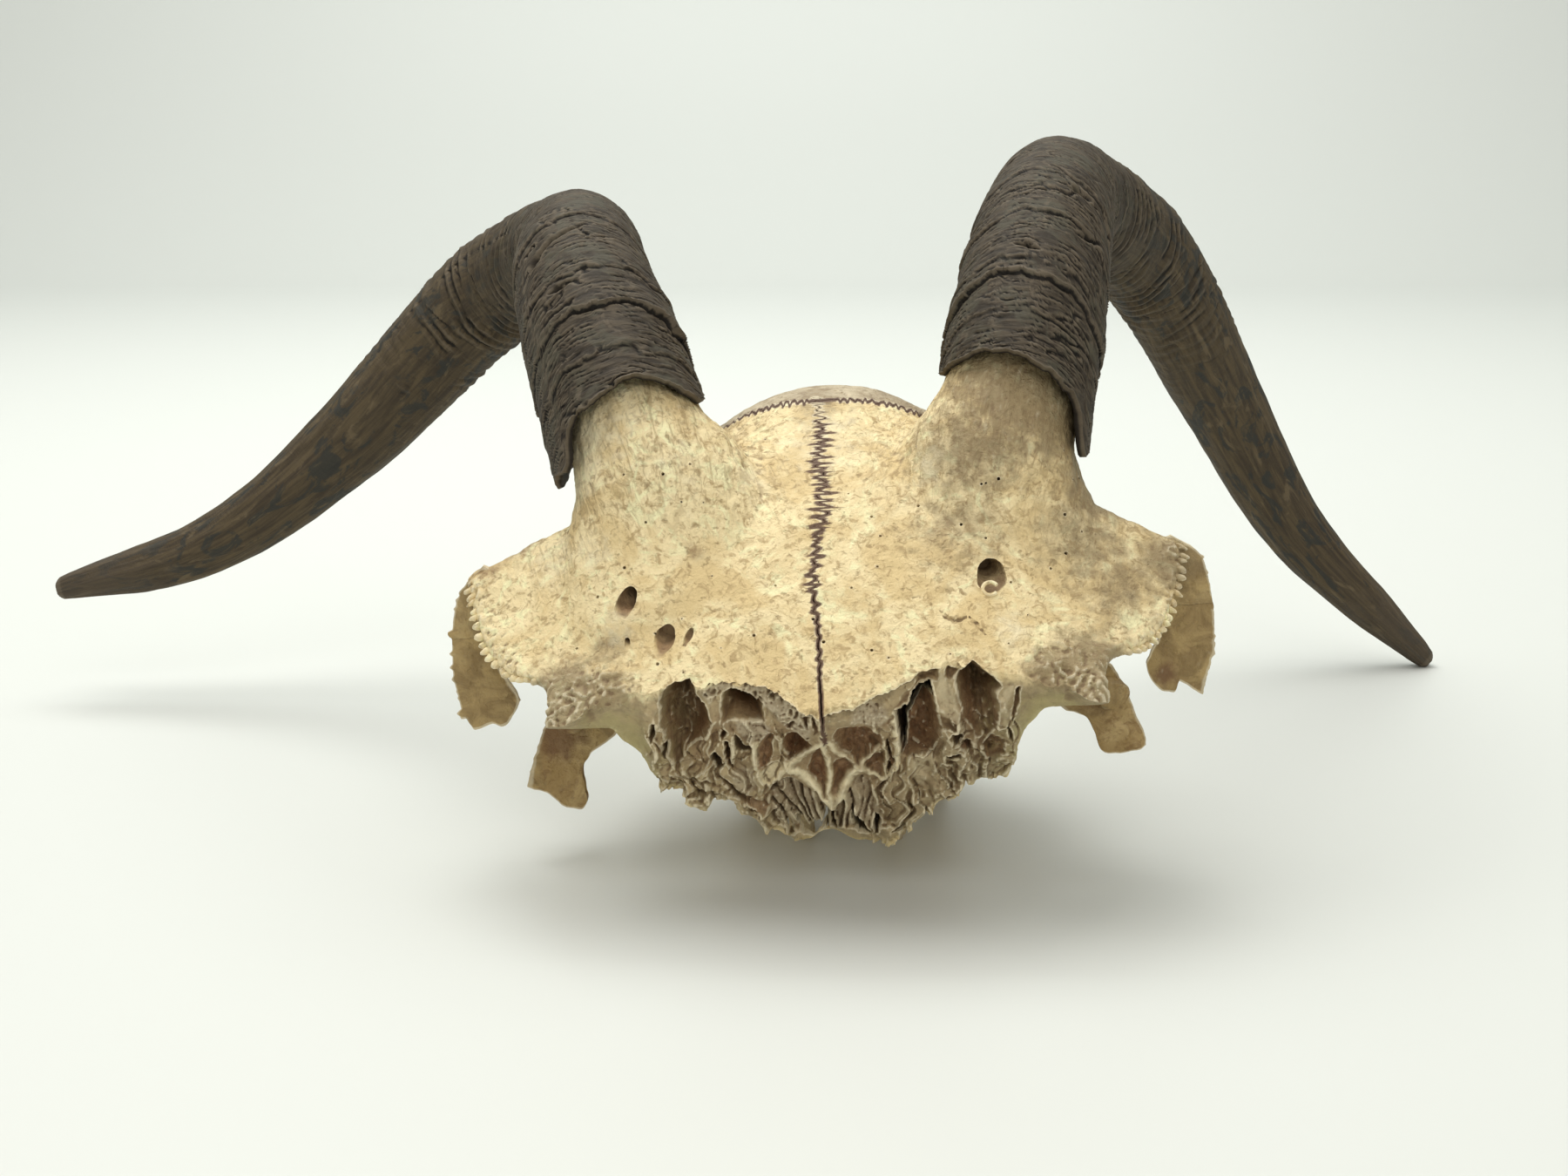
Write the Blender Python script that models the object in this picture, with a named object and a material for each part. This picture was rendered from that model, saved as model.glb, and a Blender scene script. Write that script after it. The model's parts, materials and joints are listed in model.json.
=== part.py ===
"""Broken goat skull with its horns, lying as it rests on a table.

The animal faces -Y, its own left side is +X and +Z is up. The bones are modelled upright and symmetric
about X = 0, in millimetres, then rolled and turned together into the resting pose.
"""

import math

import bmesh
import bpy
from mathutils import Matrix, Vector

MM = 0.001
GAP = 0.3
VOXEL = 1.3
SMOOTHING_PASSES = 10
SKULL_TRIANGLES = 8600

# The resting pose: the left horn's tip reaches the table and lifts that side.
FOREHEAD_CENTRE = Vector((0, 0, 61))
ROLL_DEG = -3.5
YAW_DEG = -3.0

# Midline of the forehead from the nasal suture to the bregma, and its outer edge on the left side.
FOREHEAD_MIDLINE = ((-17.8, 39.8), (-9, 51), (0, 61), (8, 68.5), (17, 75), (26, 80), (36, 84.4), (45, 85.5))
FOREHEAD_EDGE = (
    (48, -13.5, 38.1),
    (49.5, -6, 44),
    (57, 0, 45.5),
    (62, 7, 50.5),
    (67.5, 16, 59.5),
    (56, 23, 60),
    (44, 33, 65.5),
    (33, 43, 69),
)
TABLE_THICKNESS = 8.5
RIM_THICKNESS = 3.6

ORBIT_AXIS = (
    (80, -1, 34, 21, 21),
    (64, 3, 35, 20, 20),
    (50, 8, 37, 17, 17.5),
    (38, 13, 38, 13, 13),
    (28, 19, 38, 8, 8),
)
BRAINCASE_CENTRE = (0, 47, 55)
BRAINCASE_RADII = (33, 33.5, 31.5)
BRAINCASE_TILT_DEG = -24

# Distance along the core from the horn's foot, half width, half depth, sink into the forehead and shift
# towards the midline.
CORE_STATIONS = (
    (-46, 19, 7.5, 7.0, 0),
    (-38, 21.5, 9.2, 5.9, 0.5),
    (-30, 22.0, 10.8, 6.0, 1.0),
    (-22, 20.6, 12.4, 5.4, 1.6),
    (-14, 17.8, 13.6, 3.4, 1.9),
    (-8, 14.8, 14.0, 1.6, 1.3),
    (-3, 12.4, 13.9, 0.6, 0.3),
    (3, 11.4, 13.2, 0, 0),
    (7, 10.6, 12.2, 0, 0),
)

# Each horn's centreline, base to tip, and the animal's side it grows on.
RIGHT_HORN_LINE = (
    (-35, 26, 81),
    (-41, 41, 96),
    (-47, 61, 108),
    (-52, 90, 113),
    (-67, 118, 108),
    (-84, 130, 98),
    (-116, 136, 70),
    (-151, 135, 47),
    (-190, 133, 38),
)
LEFT_HORN_LINE = (
    (35, 30, 82),
    (39, 44, 97),
    (44, 67, 111),
    (50, 99, 117),
    (63, 130, 109),
    (76, 151, 95),
    (93, 172, 63),
    (112, 179, 28),
    (145, 181, -8),
)
# Half width and half depth of each horn, against the share of its length.
RIGHT_HORN_GIRTH = (
    (0.00, 16.0, 19.0),
    (0.15, 14.0, 15.9),
    (0.27, 12.8, 13.4),
    (0.37, 11.2, 11.9),
    (0.50, 10.9, 12.6),
    (0.65, 9.4, 10.8),
    (0.80, 6.8, 8.0),
    (0.92, 4.8, 5.7),
    (1.00, 1.9, 2.3),
)
LEFT_HORN_GIRTH = (
    (0.00, 14.8, 18.5),
    (0.15, 13.8, 16.8),
    (0.27, 12.8, 14.2),
    (0.37, 11.2, 12.4),
    (0.50, 10.8, 12.9),
    (0.65, 10.2, 11.4),
    (0.80, 8.0, 8.6),
    (0.92, 5.4, 6.0),
    (1.00, 1.95, 2.3),
)
HORN_SIDES = 20
GROWTH_STEP = 5.2
GROWTH_RELIEF = 0.55
SHEATH_WALL = 2.2
SOCKET_DEPTH = 14.0
MOUTH_START = 12.5
MOUTH_SLANT = 3.9
MOUTH_REAR_RISE = 7.0

# Outlines, in X and Z, of the broken straps that hang below the orbits.
LEFT_BAR = (
    (62, 57),
    (67, 53),
    (69, 46),
    (68.5, 36),
    (67, 30.5),
    (65, 32),
    (62, 33.5),
    (60.5, 31.5),
    (57, 35.5),
    (59, 45),
    (58, 52),
)
RIGHT_BAR = (
    (-62, 56.5),
    (-67.5, 52.5),
    (-70.5, 43),
    (-69.5, 32),
    (-66.5, 30),
    (-62, 30.5),
    (-58.5, 34.5),
    (-60, 45),
    (-59, 52),
)
LEFT_PRONG = (
    (46, 35.5),
    (51, 34),
    (54, 30),
    (57, 19),
    (56.5, 17.5),
    (49, 17),
    (49, 20),
    (47.5, 23),
    (42, 28),
)
RIGHT_PRONG = (
    (-46, 34.5),
    (-51.5, 31.5),
    (-56, 26),
    (-60, 15.5),
    (-55, 13),
    (-51.5, 10.5),
    (-49.5, 11.5),
    (-50, 17),
    (-48, 20.5),
    (-42, 27),
)
BAR_SUTURE_HEIGHT = 47.5
# Holes of the broken sinuses: the mouth's centre, half width, half height and depth.
SINUSES = (
    (-24.9, -14.5, 37.8, 4.2, 7.4, 20),
    (-14.8, -14.5, 39.6, 4.2, 3.4, 12),
    (14.8, -12.5, 35.6, 3.7, 8.0, 24),
    (25.2, -13.5, 39.0, 3.5, 6.6, 18),
)
# Holes of the broken nose: across, down the break, half width, half height, depth and turn.
NASAL_CELLS = (
    (-5.6, 5.8, 2.5, 2.5, 8, 0),
    (5.2, 6.0, 4.3, 3.4, 7, -15),
    (-16.0, 9.6, 2.5, 4.8, 8, 8),
    (-31.4, 8.2, 1.8, 2.8, 5, 15),
    (8.3, 14.0, 1.9, 3.0, 5, 12),
    (23.6, 9.6, 3.0, 2.8, 6, -20),
    (29.2, 10.4, 2.0, 2.6, 5, -20),
    (-24.6, 14.6, 3.2, 2.0, 5, 40),
    (-14.4, 20.6, 4.6, 2.2, 9, -50),
    (-7.6, 20.6, 2.6, 4.4, 12, -25),
    (-8.6, 28.0, 2.8, 1.6, 8, -50),
    (-2.9, 28.4, 1.3, 3.2, 8, 0),
    (2.2, 27.4, 1.5, 3.6, 8, 0),
    (7.2, 24.2, 2.6, 4.6, 12, 25),
    (14.6, 18.2, 4.6, 2.4, 9, 50),
)
SUPRAORBITAL_HOLES = ((-33.8, -0.9, 56.7, 2.0), (29.0, -0.9, 56.9, 2.0), (-27.6, -8.2, 50.4, 1.8))

SPINAL_HOLE = (
    (0, 92, 20, 8.5, 8),
    (0, 78, 26, 9, 8.5),
    (0, 66, 31, 10, 9),
    (0, 52, 38, 14, 11),
    (0, 44, 42, 8, 6),
)

# Each bone's colour and roughness.
FINISHES = {
    "frontal_left": ((0.72, 0.60, 0.39), 0.62),
    "frontal_right": ((0.74, 0.61, 0.38), 0.62),
    "parietal": ((0.50, 0.42, 0.29), 0.6),
    "occipital": ((0.60, 0.50, 0.33), 0.65),
    "temporal_left": ((0.62, 0.47, 0.26), 0.55),
    "temporal_right": ((0.60, 0.44, 0.24), 0.55),
    "sphenoid": ((0.60, 0.50, 0.32), 0.65),
    "ethmoid": ((0.52, 0.41, 0.26), 0.7),
    "postorbital_bar_left": ((0.56, 0.41, 0.20), 0.5),
    "postorbital_bar_right": ((0.46, 0.38, 0.20), 0.5),
    "horn_sheath_left": ((0.085, 0.062, 0.045), 0.7),
    "horn_sheath_right": ((0.095, 0.07, 0.05), 0.7),
}


def clear_scene():
    """Empties the scene of every object it starts with."""
    for obj in list(bpy.data.objects):
        bpy.data.objects.remove(obj, do_unlink=True)


def material(name, colour, roughness):
    """A plain Principled material."""
    made = bpy.data.materials.new(name)
    made.use_nodes = True
    shader = made.node_tree.nodes["Principled BSDF"]
    shader.inputs["Base Color"].default_value = (*colour, 1)
    shader.inputs["Roughness"].default_value = roughness
    shader.inputs["Metallic"].default_value = 0
    return made


def linked(name, mesh):
    """An object for a mesh, in the scene."""
    obj = bpy.data.objects.new(name, mesh)
    bpy.context.scene.collection.objects.link(obj)
    return obj


def from_bmesh(name, bm):
    """An object from a bmesh whose faces are turned outwards."""
    bmesh.ops.recalc_face_normals(bm, faces=bm.faces)
    mesh = bpy.data.meshes.new(name)
    bm.to_mesh(mesh)
    bm.free()
    return linked(name, mesh)


def bake(obj):
    """Applies an object's modifiers to its mesh."""
    graph = bpy.context.evaluated_depsgraph_get()
    mesh = bpy.data.meshes.new_from_object(obj.evaluated_get(graph))
    obj.modifiers.clear()
    obj.data = mesh
    return obj


def discard(objects):
    """Removes helper objects from the scene."""
    for obj in objects:
        bpy.data.objects.remove(obj, do_unlink=True)


def boolean(obj, others, operation, solver="EXACT"):
    """Joins, cuts or intersects an object with a list of closed objects, which are then removed."""
    helpers = bpy.data.collections.new("helpers")
    bpy.context.scene.collection.children.link(helpers)
    for other in others:
        helpers.objects.link(other)
    modifier = obj.modifiers.new("boolean", "BOOLEAN")
    modifier.operation = operation
    modifier.operand_type = "COLLECTION"
    modifier.collection = helpers
    modifier.solver = solver
    bake(obj)
    discard(others)
    bpy.data.collections.remove(helpers)
    return obj


def keep_largest(obj):
    """Drops every closed surface but the largest."""
    bm = bmesh.new()
    bm.from_mesh(obj.data)
    bm.verts.ensure_lookup_table()
    seen = set()
    islands = []
    for start in bm.verts:
        if start in seen:
            continue
        island, front = [], [start]
        seen.add(start)
        while front:
            vert = front.pop()
            island.append(vert)
            for edge in vert.link_edges:
                other = edge.other_vert(vert)
                if other not in seen:
                    seen.add(other)
                    front.append(other)
        islands.append(island)
    islands.sort(key=len)
    bmesh.ops.delete(bm, geom=[v for island in islands[:-1] for v in island], context="VERTS")
    bm.to_mesh(obj.data)
    bm.free()
    return obj


def mend(obj):
    """Merges coincident points, drops slivers and closes the pinholes they leave."""
    bm = bmesh.new()
    bm.from_mesh(obj.data)
    bmesh.ops.triangulate(bm, faces=bm.faces)
    for reach in (0.004, 0.004, 0.01, 0.02, 0.04, 0.08):
        bmesh.ops.remove_doubles(bm, verts=bm.verts, dist=reach)
        bmesh.ops.dissolve_degenerate(bm, edges=bm.edges, dist=reach)
        faulty = [e for e in bm.edges if len(e.link_faces) > 2]
        around = {face for edge in faulty for vert in edge.verts for face in vert.link_faces}
        bmesh.ops.delete(bm, geom=list(around), context="FACES")
        bmesh.ops.delete(bm, geom=[e for e in bm.edges if not e.link_faces], context="EDGES")
        bmesh.ops.delete(bm, geom=[v for v in bm.verts if not v.link_faces], context="VERTS")
        open_edges = [e for e in bm.edges if len(e.link_faces) == 1]
        if open_edges:
            bmesh.ops.holes_fill(bm, edges=open_edges, sides=0)
        bmesh.ops.triangulate(bm, faces=bm.faces)
        if all(len(e.link_faces) == 2 for e in bm.edges):
            break
    bmesh.ops.recalc_face_normals(bm, faces=bm.faces)
    bm.to_mesh(obj.data)
    bm.free()
    return obj


def ellipsoid(centre, radii, tilt_deg=0):
    """A ball scaled to three radii and tipped about X."""
    bm = bmesh.new()
    place = Matrix.Translation(centre) @ Matrix.Rotation(math.radians(tilt_deg), 4, "X")
    bmesh.ops.create_uvsphere(
        bm, u_segments=28, v_segments=18, radius=1, matrix=place @ Matrix.Diagonal((*radii, 1))
    )
    return from_bmesh("ellipsoid", bm)


def bridged(rings):
    """A closed object through rings of equal point counts, with flat ends."""
    bm = bmesh.new()
    loops = [[bm.verts.new(point) for point in ring] for ring in rings]
    count = len(loops[0])
    for low, high in zip(loops, loops[1:]):
        for i in range(count):
            bm.faces.new((low[i], low[(i + 1) % count], high[(i + 1) % count], high[i]))
    bm.faces.new(loops[0][::-1])
    bm.faces.new(loops[-1])
    bmesh.ops.triangulate(bm, faces=bm.faces)
    return from_bmesh("bridged", bm)


def limb(stations, width_along=(1, 0, 0), sides=14):
    """A tapering bar through stations of (x, y, z, half width, half depth); one radius makes it round."""
    centres = [Vector(s[:3]) for s in stations]
    rings = []
    for i, station in enumerate(stations):
        ahead = centres[min(i + 1, len(centres) - 1)] - centres[max(i - 1, 0)]
        side = Vector(width_along) - ahead.normalized() * Vector(width_along).dot(ahead.normalized())
        side.normalize()
        across = ahead.normalized().cross(side)
        width, depth = station[3], station[-1]
        rings.append(
            [
                centres[i]
                + side * width * math.cos(math.tau * k / sides)
                + across * depth * math.sin(math.tau * k / sides)
                for k in range(sides)
            ]
        )
    return bridged(rings)


def mirrored(stations):
    """The same stations on the animal's right side."""
    return tuple((-s[0], *s[1:]) for s in stations)


def smooth_curve(points, steps_per_span=6):
    """Points along a Catmull-Rom curve through the given ones."""
    line = [Vector(p) for p in points]
    ends = [2 * line[0] - line[1], *line, 2 * line[-1] - line[-2]]
    made = []
    for i in range(len(line) - 1):
        a, b, c, d = ends[i : i + 4]
        for k in range(steps_per_span):
            t = k / steps_per_span
            curve = (2 * a - 5 * b + 4 * c - d) * t**2 + (3 * b - a - 3 * c + d) * t**3
            made.append(0.5 * (2 * b + (c - a) * t + curve))
    return [*made, line[-1]]


def interpolate(table, x):
    """Values between the rows of a table whose first column is x."""
    for low, high in zip(table, table[1:]):
        if x <= high[0]:
            share = max(0.0, (x - low[0]) / (high[0] - low[0]))
            return [a + (b - a) * share for a, b in zip(low[1:], high[1:])]
    return list(table[-1][1:])


def forehead_table():
    """The outer plate of both frontals, from the nasal suture back to the bregma."""
    across = 12
    middle = smooth_curve([(0, *p) for p in FOREHEAD_MIDLINE], 3)
    edge = smooth_curve(FOREHEAD_EDGE, 3)
    bm = bmesh.new()
    outer, inner = [], []
    for i, (centre, rim) in enumerate(zip(middle, edge)):
        ahead = middle[min(i + 1, len(middle) - 1)] - middle[max(i - 1, 0)]
        inward = Vector((0, ahead.z, -ahead.y)).normalized()
        outer_row, inner_row = [], []
        for k in range(-across, across + 1):
            u = k / across
            point = centre.lerp(Vector((rim.x, rim.y, rim.z)), u * u)
            point.x = rim.x * u
            thickness = RIM_THICKNESS + (TABLE_THICKNESS - RIM_THICKNESS) * (1 - u * u) ** 0.8
            outer_row.append(bm.verts.new(point))
            inner_row.append(bm.verts.new(point + inward * thickness))
        outer.append(outer_row)
        inner.append(inner_row)
    for rows in (outer, inner):
        for low, high in zip(rows, rows[1:]):
            for k in range(2 * across):
                bm.faces.new((low[k], low[k + 1], high[k + 1], high[k]))
    for k in range(2 * across):
        for i in (0, -1):
            bm.faces.new((outer[i][k], outer[i][k + 1], inner[i][k + 1], inner[i][k]))
    for i in range(len(outer) - 1):
        for k in (0, -1):
            bm.faces.new((outer[i][k], outer[i + 1][k], inner[i + 1][k], inner[i][k]))
    return from_bmesh("forehead", bm)


def nasal_keel():
    """The V-shaped stub of the nose behind the break, running back to the braincase."""
    half_section = ((39, 0), (37.8, 6), (33.8, 12), (27, 18.4), (18.5, 25.4), (11.5, 32), (4, 35))
    section = [*half_section, *[(-x, d) for x, d in reversed(half_section)]]
    shrinking = ((0, 1.0, 1.0), (9, 0.9, 1.0), (20, 0.7, 0.97), (32, 0.52, 0.9), (42, 0.46, 0.8))
    rings = []
    for step, narrowing, depth in shrinking:
        rings.append([on_break(x * narrowing, d * depth, step) for x, d in section])
    return bridged(rings)


def on_break(x, down, back=0):
    """A point on the break across the nose, or behind it: down the break, then back along the skull."""
    return Vector((x, -12.5, 37.5)) + down * Vector((0, 0.56, -0.83)) + back * Vector((0, 0.75, 0.66))


def horn_core(line):
    """The bone core's foot, flaring into the forehead, and its stub inside the sheath."""
    base = Vector(line[0])
    axis = (Vector(line[1]) - base).normalized()
    inward = Vector((0, 0.66, -0.75))
    stations = []
    for distance, width, depth, sink, shift in CORE_STATIONS:
        centre = base + axis * distance + inward * sink - Vector((math.copysign(shift, base.x), 0, 0))
        stations.append((*centre, width, depth))
    return limb(stations, sides=24)


def skull_masses():
    """The rounded masses that smooth into one skull."""
    pieces = [
        forehead_table(),
        nasal_keel(),
        ellipsoid(BRAINCASE_CENTRE, BRAINCASE_RADII, BRAINCASE_TILT_DEG),
        ellipsoid((0, 66, 50), (30, 11, 19), -8),
        ellipsoid((0, 71, 57), (13, 7, 8), -30),
        limb(((0, 73, 21, 12, 6), (0, 60, 24, 10, 6), (0, 44, 29, 9, 6), (0, 28, 33, 9, 6))),
        horn_core(LEFT_HORN_LINE),
        horn_core(RIGHT_HORN_LINE),
    ]
    paired = (
        # condyle, mastoid, bulla, ear tube, jugular process, pterygoid plate, cheek root
        ((8, 70, 31, 7, 7), (13, 76, 25, 8, 8), (14, 78, 18, 7.5, 7.5), (11, 76, 12, 5, 5)),
        ((20, 60, 40, 12, 10), (30, 62, 38, 6.5, 9), (33, 61, 33, 4, 7)),
        ((19, 57, 30, 7, 9), (20, 54, 22, 7.5, 9.5), (20, 52, 16.5, 5, 6.5), (20, 51, 13.5, 2, 3)),
        ((20, 52, 31, 5, 5), (30, 53, 33, 4.2, 4.2), (37, 54, 36, 3.6, 3.6)),
        ((22, 68, 33, 5, 8), (20.5, 68, 20, 3.6, 6.5), (18, 65.5, 8, 3, 4.8), (16.5, 63, -3, 2.6, 3.6)),
        ((8, 36, 34, 3, 9), (8, 37, 22, 2.4, 8), (8.5, 38, 10, 2.2, 6.5), (9, 39.5, -3, 2.2, 4.5)),
        (
            (24, 47, 36, 9, 6),
            (36, 43, 34, 6.5, 4.5),
            (43, 38, 32, 4.6, 4.2),
            (49, 31, 29.5, 4, 3.6),
            (52, 26, 28, 3.4, 3),
        ),
    )
    for stations in paired:
        pieces.append(limb(stations))
        pieces.append(limb(mirrored(stations)))
    return pieces


def strap(outline, front, lean, thickness):
    """A thin bowed plate with an outline in X and Z, leaning back as it rises."""
    centre = sum(x for x, _ in outline) / len(outline)
    bm = bmesh.new()
    faces = []
    for shift in (0, thickness):
        points = []
        for x, z in outline:
            y = front + lean * (z - 40) - 0.02 * (x - centre) ** 2 + shift
            points.append(bm.verts.new((x, y, z)))
        faces.append(points)
    bm.faces.new(faces[0])
    bm.faces.new(faces[1][::-1])
    for i in range(len(outline)):
        j = (i + 1) % len(outline)
        bm.faces.new((faces[0][j], faces[0][i], faces[1][i], faces[1][j]))
    bmesh.ops.triangulate(bm, faces=bm.faces)
    return from_bmesh("strap", bm)


def straps():
    """The bars behind the orbits and the cheekbone roots under them, all broken off below."""
    return [
        strap(LEFT_BAR, 17.5, -0.1, 2.4),
        strap(RIGHT_BAR, 17.5, -0.1, 2.4),
        strap(LEFT_PRONG, 28.5, 0.1, 2.6),
        strap(RIGHT_PRONG, 28.5, 0.1, 2.6),
    ]


def joined(pieces):
    """One object holding every piece's mesh."""
    bm = bmesh.new()
    for piece in pieces:
        bm.from_mesh(piece.data)
    discard(pieces)
    mesh = bpy.data.meshes.new("joined")
    bm.to_mesh(mesh)
    bm.free()
    return linked("joined", mesh)


def blended(pieces):
    """Fuses overlapping pieces and softens their creases."""
    obj = joined(pieces)
    remesh = obj.modifiers.new("fuse", "REMESH")
    remesh.mode = "VOXEL"
    remesh.voxel_size = VOXEL
    soften = obj.modifiers.new("soften", "SMOOTH")
    soften.factor = 0.5
    soften.iterations = SMOOTHING_PASSES
    return bake(obj)


def orbit(stations):
    """The space of one eye, kept clear of the forehead's plate above it."""
    return boolean(limb(stations, sides=24), [forehead_table()], "DIFFERENCE")


def pocket(mouth, heading, width, height, depth, turn_deg=0):
    """A tapering hole from a point on the broken surface along a heading, its oval turned about it."""
    mouth, heading = Vector(mouth), Vector(heading).normalized()
    turn = math.radians(turn_deg)
    across = (math.cos(turn), 0, math.sin(turn))
    stations = []
    for reach, share in ((-8, 1.0), (depth * 0.6, 1.0), (depth, 0.45)):
        stations.append((*(mouth + heading * reach), width * share, height * share))
    return limb(stations, width_along=across, sides=11)


def openings():
    """Cutters for the orbits, the broken sinuses, the foramen magnum and the holes over the eyes."""
    cutters = [
        orbit(ORBIT_AXIS),
        orbit(mirrored(ORBIT_AXIS)),
        limb(SPINAL_HOLE, sides=18),
    ]
    under_the_plate = (0, 0.97, 0.25)
    for x, y, z, width, height, depth in SINUSES:
        cutters.append(pocket((x, y, z), under_the_plate, width, height, depth))
    up_the_nose = (0, 0.75, 0.66)
    for x, down, width, height, depth, turn in NASAL_CELLS:
        cutters.append(pocket(on_break(x, down), up_the_nose, width, height, depth, turn))
    inward = Vector((0, 0.66, -0.75))
    for x, y, z, radius in SUPRAORBITAL_HOLES:
        mouth = Vector((x, y, z)) - inward * 6
        cutters.append(limb(((*mouth, radius, radius), (*(mouth + inward * 13), radius, radius)), sides=10))
    return cutters


def whole_skull():
    """The skull as one smooth body, before it is parted along its sutures."""
    body = blended(skull_masses())
    boolean(body, openings(), "DIFFERENCE")
    keep_largest(body)
    thin = body.modifiers.new("thin", "DECIMATE")
    body.data.calc_loop_triangles()
    thin.ratio = SKULL_TRIANGLES / len(body.data.loop_triangles)
    bake(body)
    return keep_largest(mend(boolean(body, straps(), "UNION")))


def region(planes, gap=GAP):
    """A convex block inside planes, each a point and the direction cut away; its faces are half a gap in."""
    bm = bmesh.new()
    bmesh.ops.create_cube(bm, size=600)
    for point, away in planes:
        away = Vector(away).normalized()
        shifted = Vector(point) - away * gap / 2
        cut = bmesh.ops.bisect_plane(
            bm,
            geom=[*bm.verts, *bm.edges, *bm.faces],
            plane_co=shifted,
            plane_no=away,
            clear_outer=True,
        )
        rim = [e for e in cut["geom_cut"] if isinstance(e, bmesh.types.BMEdge)]
        bmesh.ops.contextual_create(bm, geom=rim)
    return from_bmesh("region", bm)


def flipped(plane):
    """The same plane with its other side cut away."""
    point, away = plane
    return point, tuple(-a for a in away)


def bone_regions():
    """Where each bone of the skull lies, between the planes of its sutures."""
    midline = ((0, 0, 0), (1, 0, 0))
    floor_line = ((0, 0, 31.3), (0, -0.272, 0.962))
    coronal_left = ((0, 35.2, 84), (-0.3, 0.95, 0))
    coronal_right = ((0, 35.2, 84), (0.3, 0.95, 0))
    nape = ((0, 73, 62), (0, 0.956, -0.292))
    ethmoid_back = ((0, 23, 30), (0, 1, 0))
    temporal_left = ((16, 0, 0), (1, 0, 0))
    temporal_right = ((-16, 0, 0), (-1, 0, 0))
    return {
        "frontal_left": [flipped(midline), flipped(floor_line), coronal_left],
        "frontal_right": [midline, flipped(floor_line), coronal_right],
        "parietal": [flipped(floor_line), flipped(coronal_left), flipped(coronal_right), nape],
        "occipital": [flipped(nape)],
        "ethmoid": [floor_line, ethmoid_back, nape],
        "sphenoid": [floor_line, flipped(ethmoid_back), temporal_left, temporal_right, nape],
        "temporal_left": [floor_line, flipped(ethmoid_back), flipped(temporal_left), nape],
        "temporal_right": [floor_line, flipped(ethmoid_back), flipped(temporal_right), nape],
    }


def bar_region(side):
    """The block around one orbital bar, below its suture with the forehead."""
    return [
        ((side * 53, 0, 0), (-side, 0, 0)),
        ((0, 12, 0), (0, -1, 0)),
        ((0, 24.5, 0), (0, 1, 0)),
        ((0, 0, BAR_SUTURE_HEIGHT), (0, 0, 1)),
    ]


def part_into_bones(skull):
    """Cuts the skull into its bones, a thin gap apart."""
    bones = []
    for side, name in ((1, "postorbital_bar_left"), (-1, "postorbital_bar_right")):
        bar = linked(name, skull.data.copy())
        bones.append(keep_largest(mend(boolean(bar, [region(bar_region(side))], "INTERSECT"))))
    boolean(skull, [region(bar_region(side), -GAP) for side in (1, -1)], "DIFFERENCE")
    for name, planes in bone_regions().items():
        bone = linked(name, skull.data.copy())
        boolean(bone, [region(planes)], "INTERSECT")
        keep_largest(mend(bone))
        bones.append(bone)
    discard([skull])
    return bones


def horn_frames(line):
    """Evenly followed points of a horn's centreline, each with its share of the length and its two axes."""
    curve = smooth_curve(line, 10)
    base_axis = (curve[1] - curve[0]).normalized()
    curve = [curve[0] - base_axis * back for back in (12, 8, 4)] + curve
    lengths = [0.0]
    for a, b in zip(curve, curve[1:]):
        lengths.append(lengths[-1] + (b - a).length)
    side = Vector((1, 0, 0))
    frames = []
    for i, point in enumerate(curve):
        axis = (curve[min(i + 1, len(curve) - 1)] - curve[max(i - 1, 0)]).normalized()
        side = (side - axis * side.dot(axis)).normalized()
        frames.append((lengths[i], point, side, axis.cross(side), axis))
    return frames


def frame_at(frames, length):
    """The frame at a length along the horn."""
    for low, high in zip(frames, frames[1:]):
        if length <= high[0]:
            share = (length - low[0]) / (high[0] - low[0])
            return [a.lerp(b, share) for a, b in zip(low[1:], high[1:])]
    return list(frames[-1][1:])


def growth(length, whole):
    """Height of the growth rings at a length: steps that fade out towards the tip."""
    phase = (length / GROWTH_STEP) % 1
    fade = max(0.0, 1 - length / (0.62 * whole))
    return GROWTH_RELIEF * (phase - 0.5) * fade


def horn_sheath(name, line, girth, side):
    """A hollow-mouthed horn sheath with stepped growth rings."""
    frames = horn_frames(line)
    whole = frames[-1][0]
    ringed, plain = 56, 12
    shares = [0.6 * k / ringed for k in range(ringed)] + [0.6 + 0.4 * k / plain for k in range(plain + 1)]

    def ring(share, inset, sunk=0.0):
        points = []
        for k in range(HORN_SIDES):
            angle = math.tau * k / HORN_SIDES
            outward = side * math.cos(angle)
            start = MOUTH_START - MOUTH_SLANT * outward + MOUTH_REAR_RISE * max(0.0, math.sin(angle)) ** 2
            length = start + (whole - start) * share + sunk
            point, across, deep, _ = frame_at(frames, length)
            width, depth = interpolate(girth, length / whole)
            lift = growth(length, whole) - inset
            sideways = across * (width + lift) * math.cos(angle)
            points.append(point + sideways + deep * (depth + lift) * math.sin(angle))
        return points

    outer = [ring(share, 0.0) for share in reversed(shares)]
    inner = [ring(0.0, SHEATH_WALL * (1 + 0.12 * k), SOCKET_DEPTH * k / 3) for k in range(4)]
    obj = bridged([*outer, *inner])
    obj.name = name
    return obj


def pose():
    """The turn that takes the upright skull to the way it rests, about the middle of its forehead."""
    turn = Matrix.Rotation(math.radians(YAW_DEG), 4, "Z") @ Matrix.Rotation(math.radians(ROLL_DEG), 4, "Y")
    return Matrix.Translation(FOREHEAD_CENTRE) @ turn @ Matrix.Translation(-FOREHEAD_CENTRE)


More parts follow.
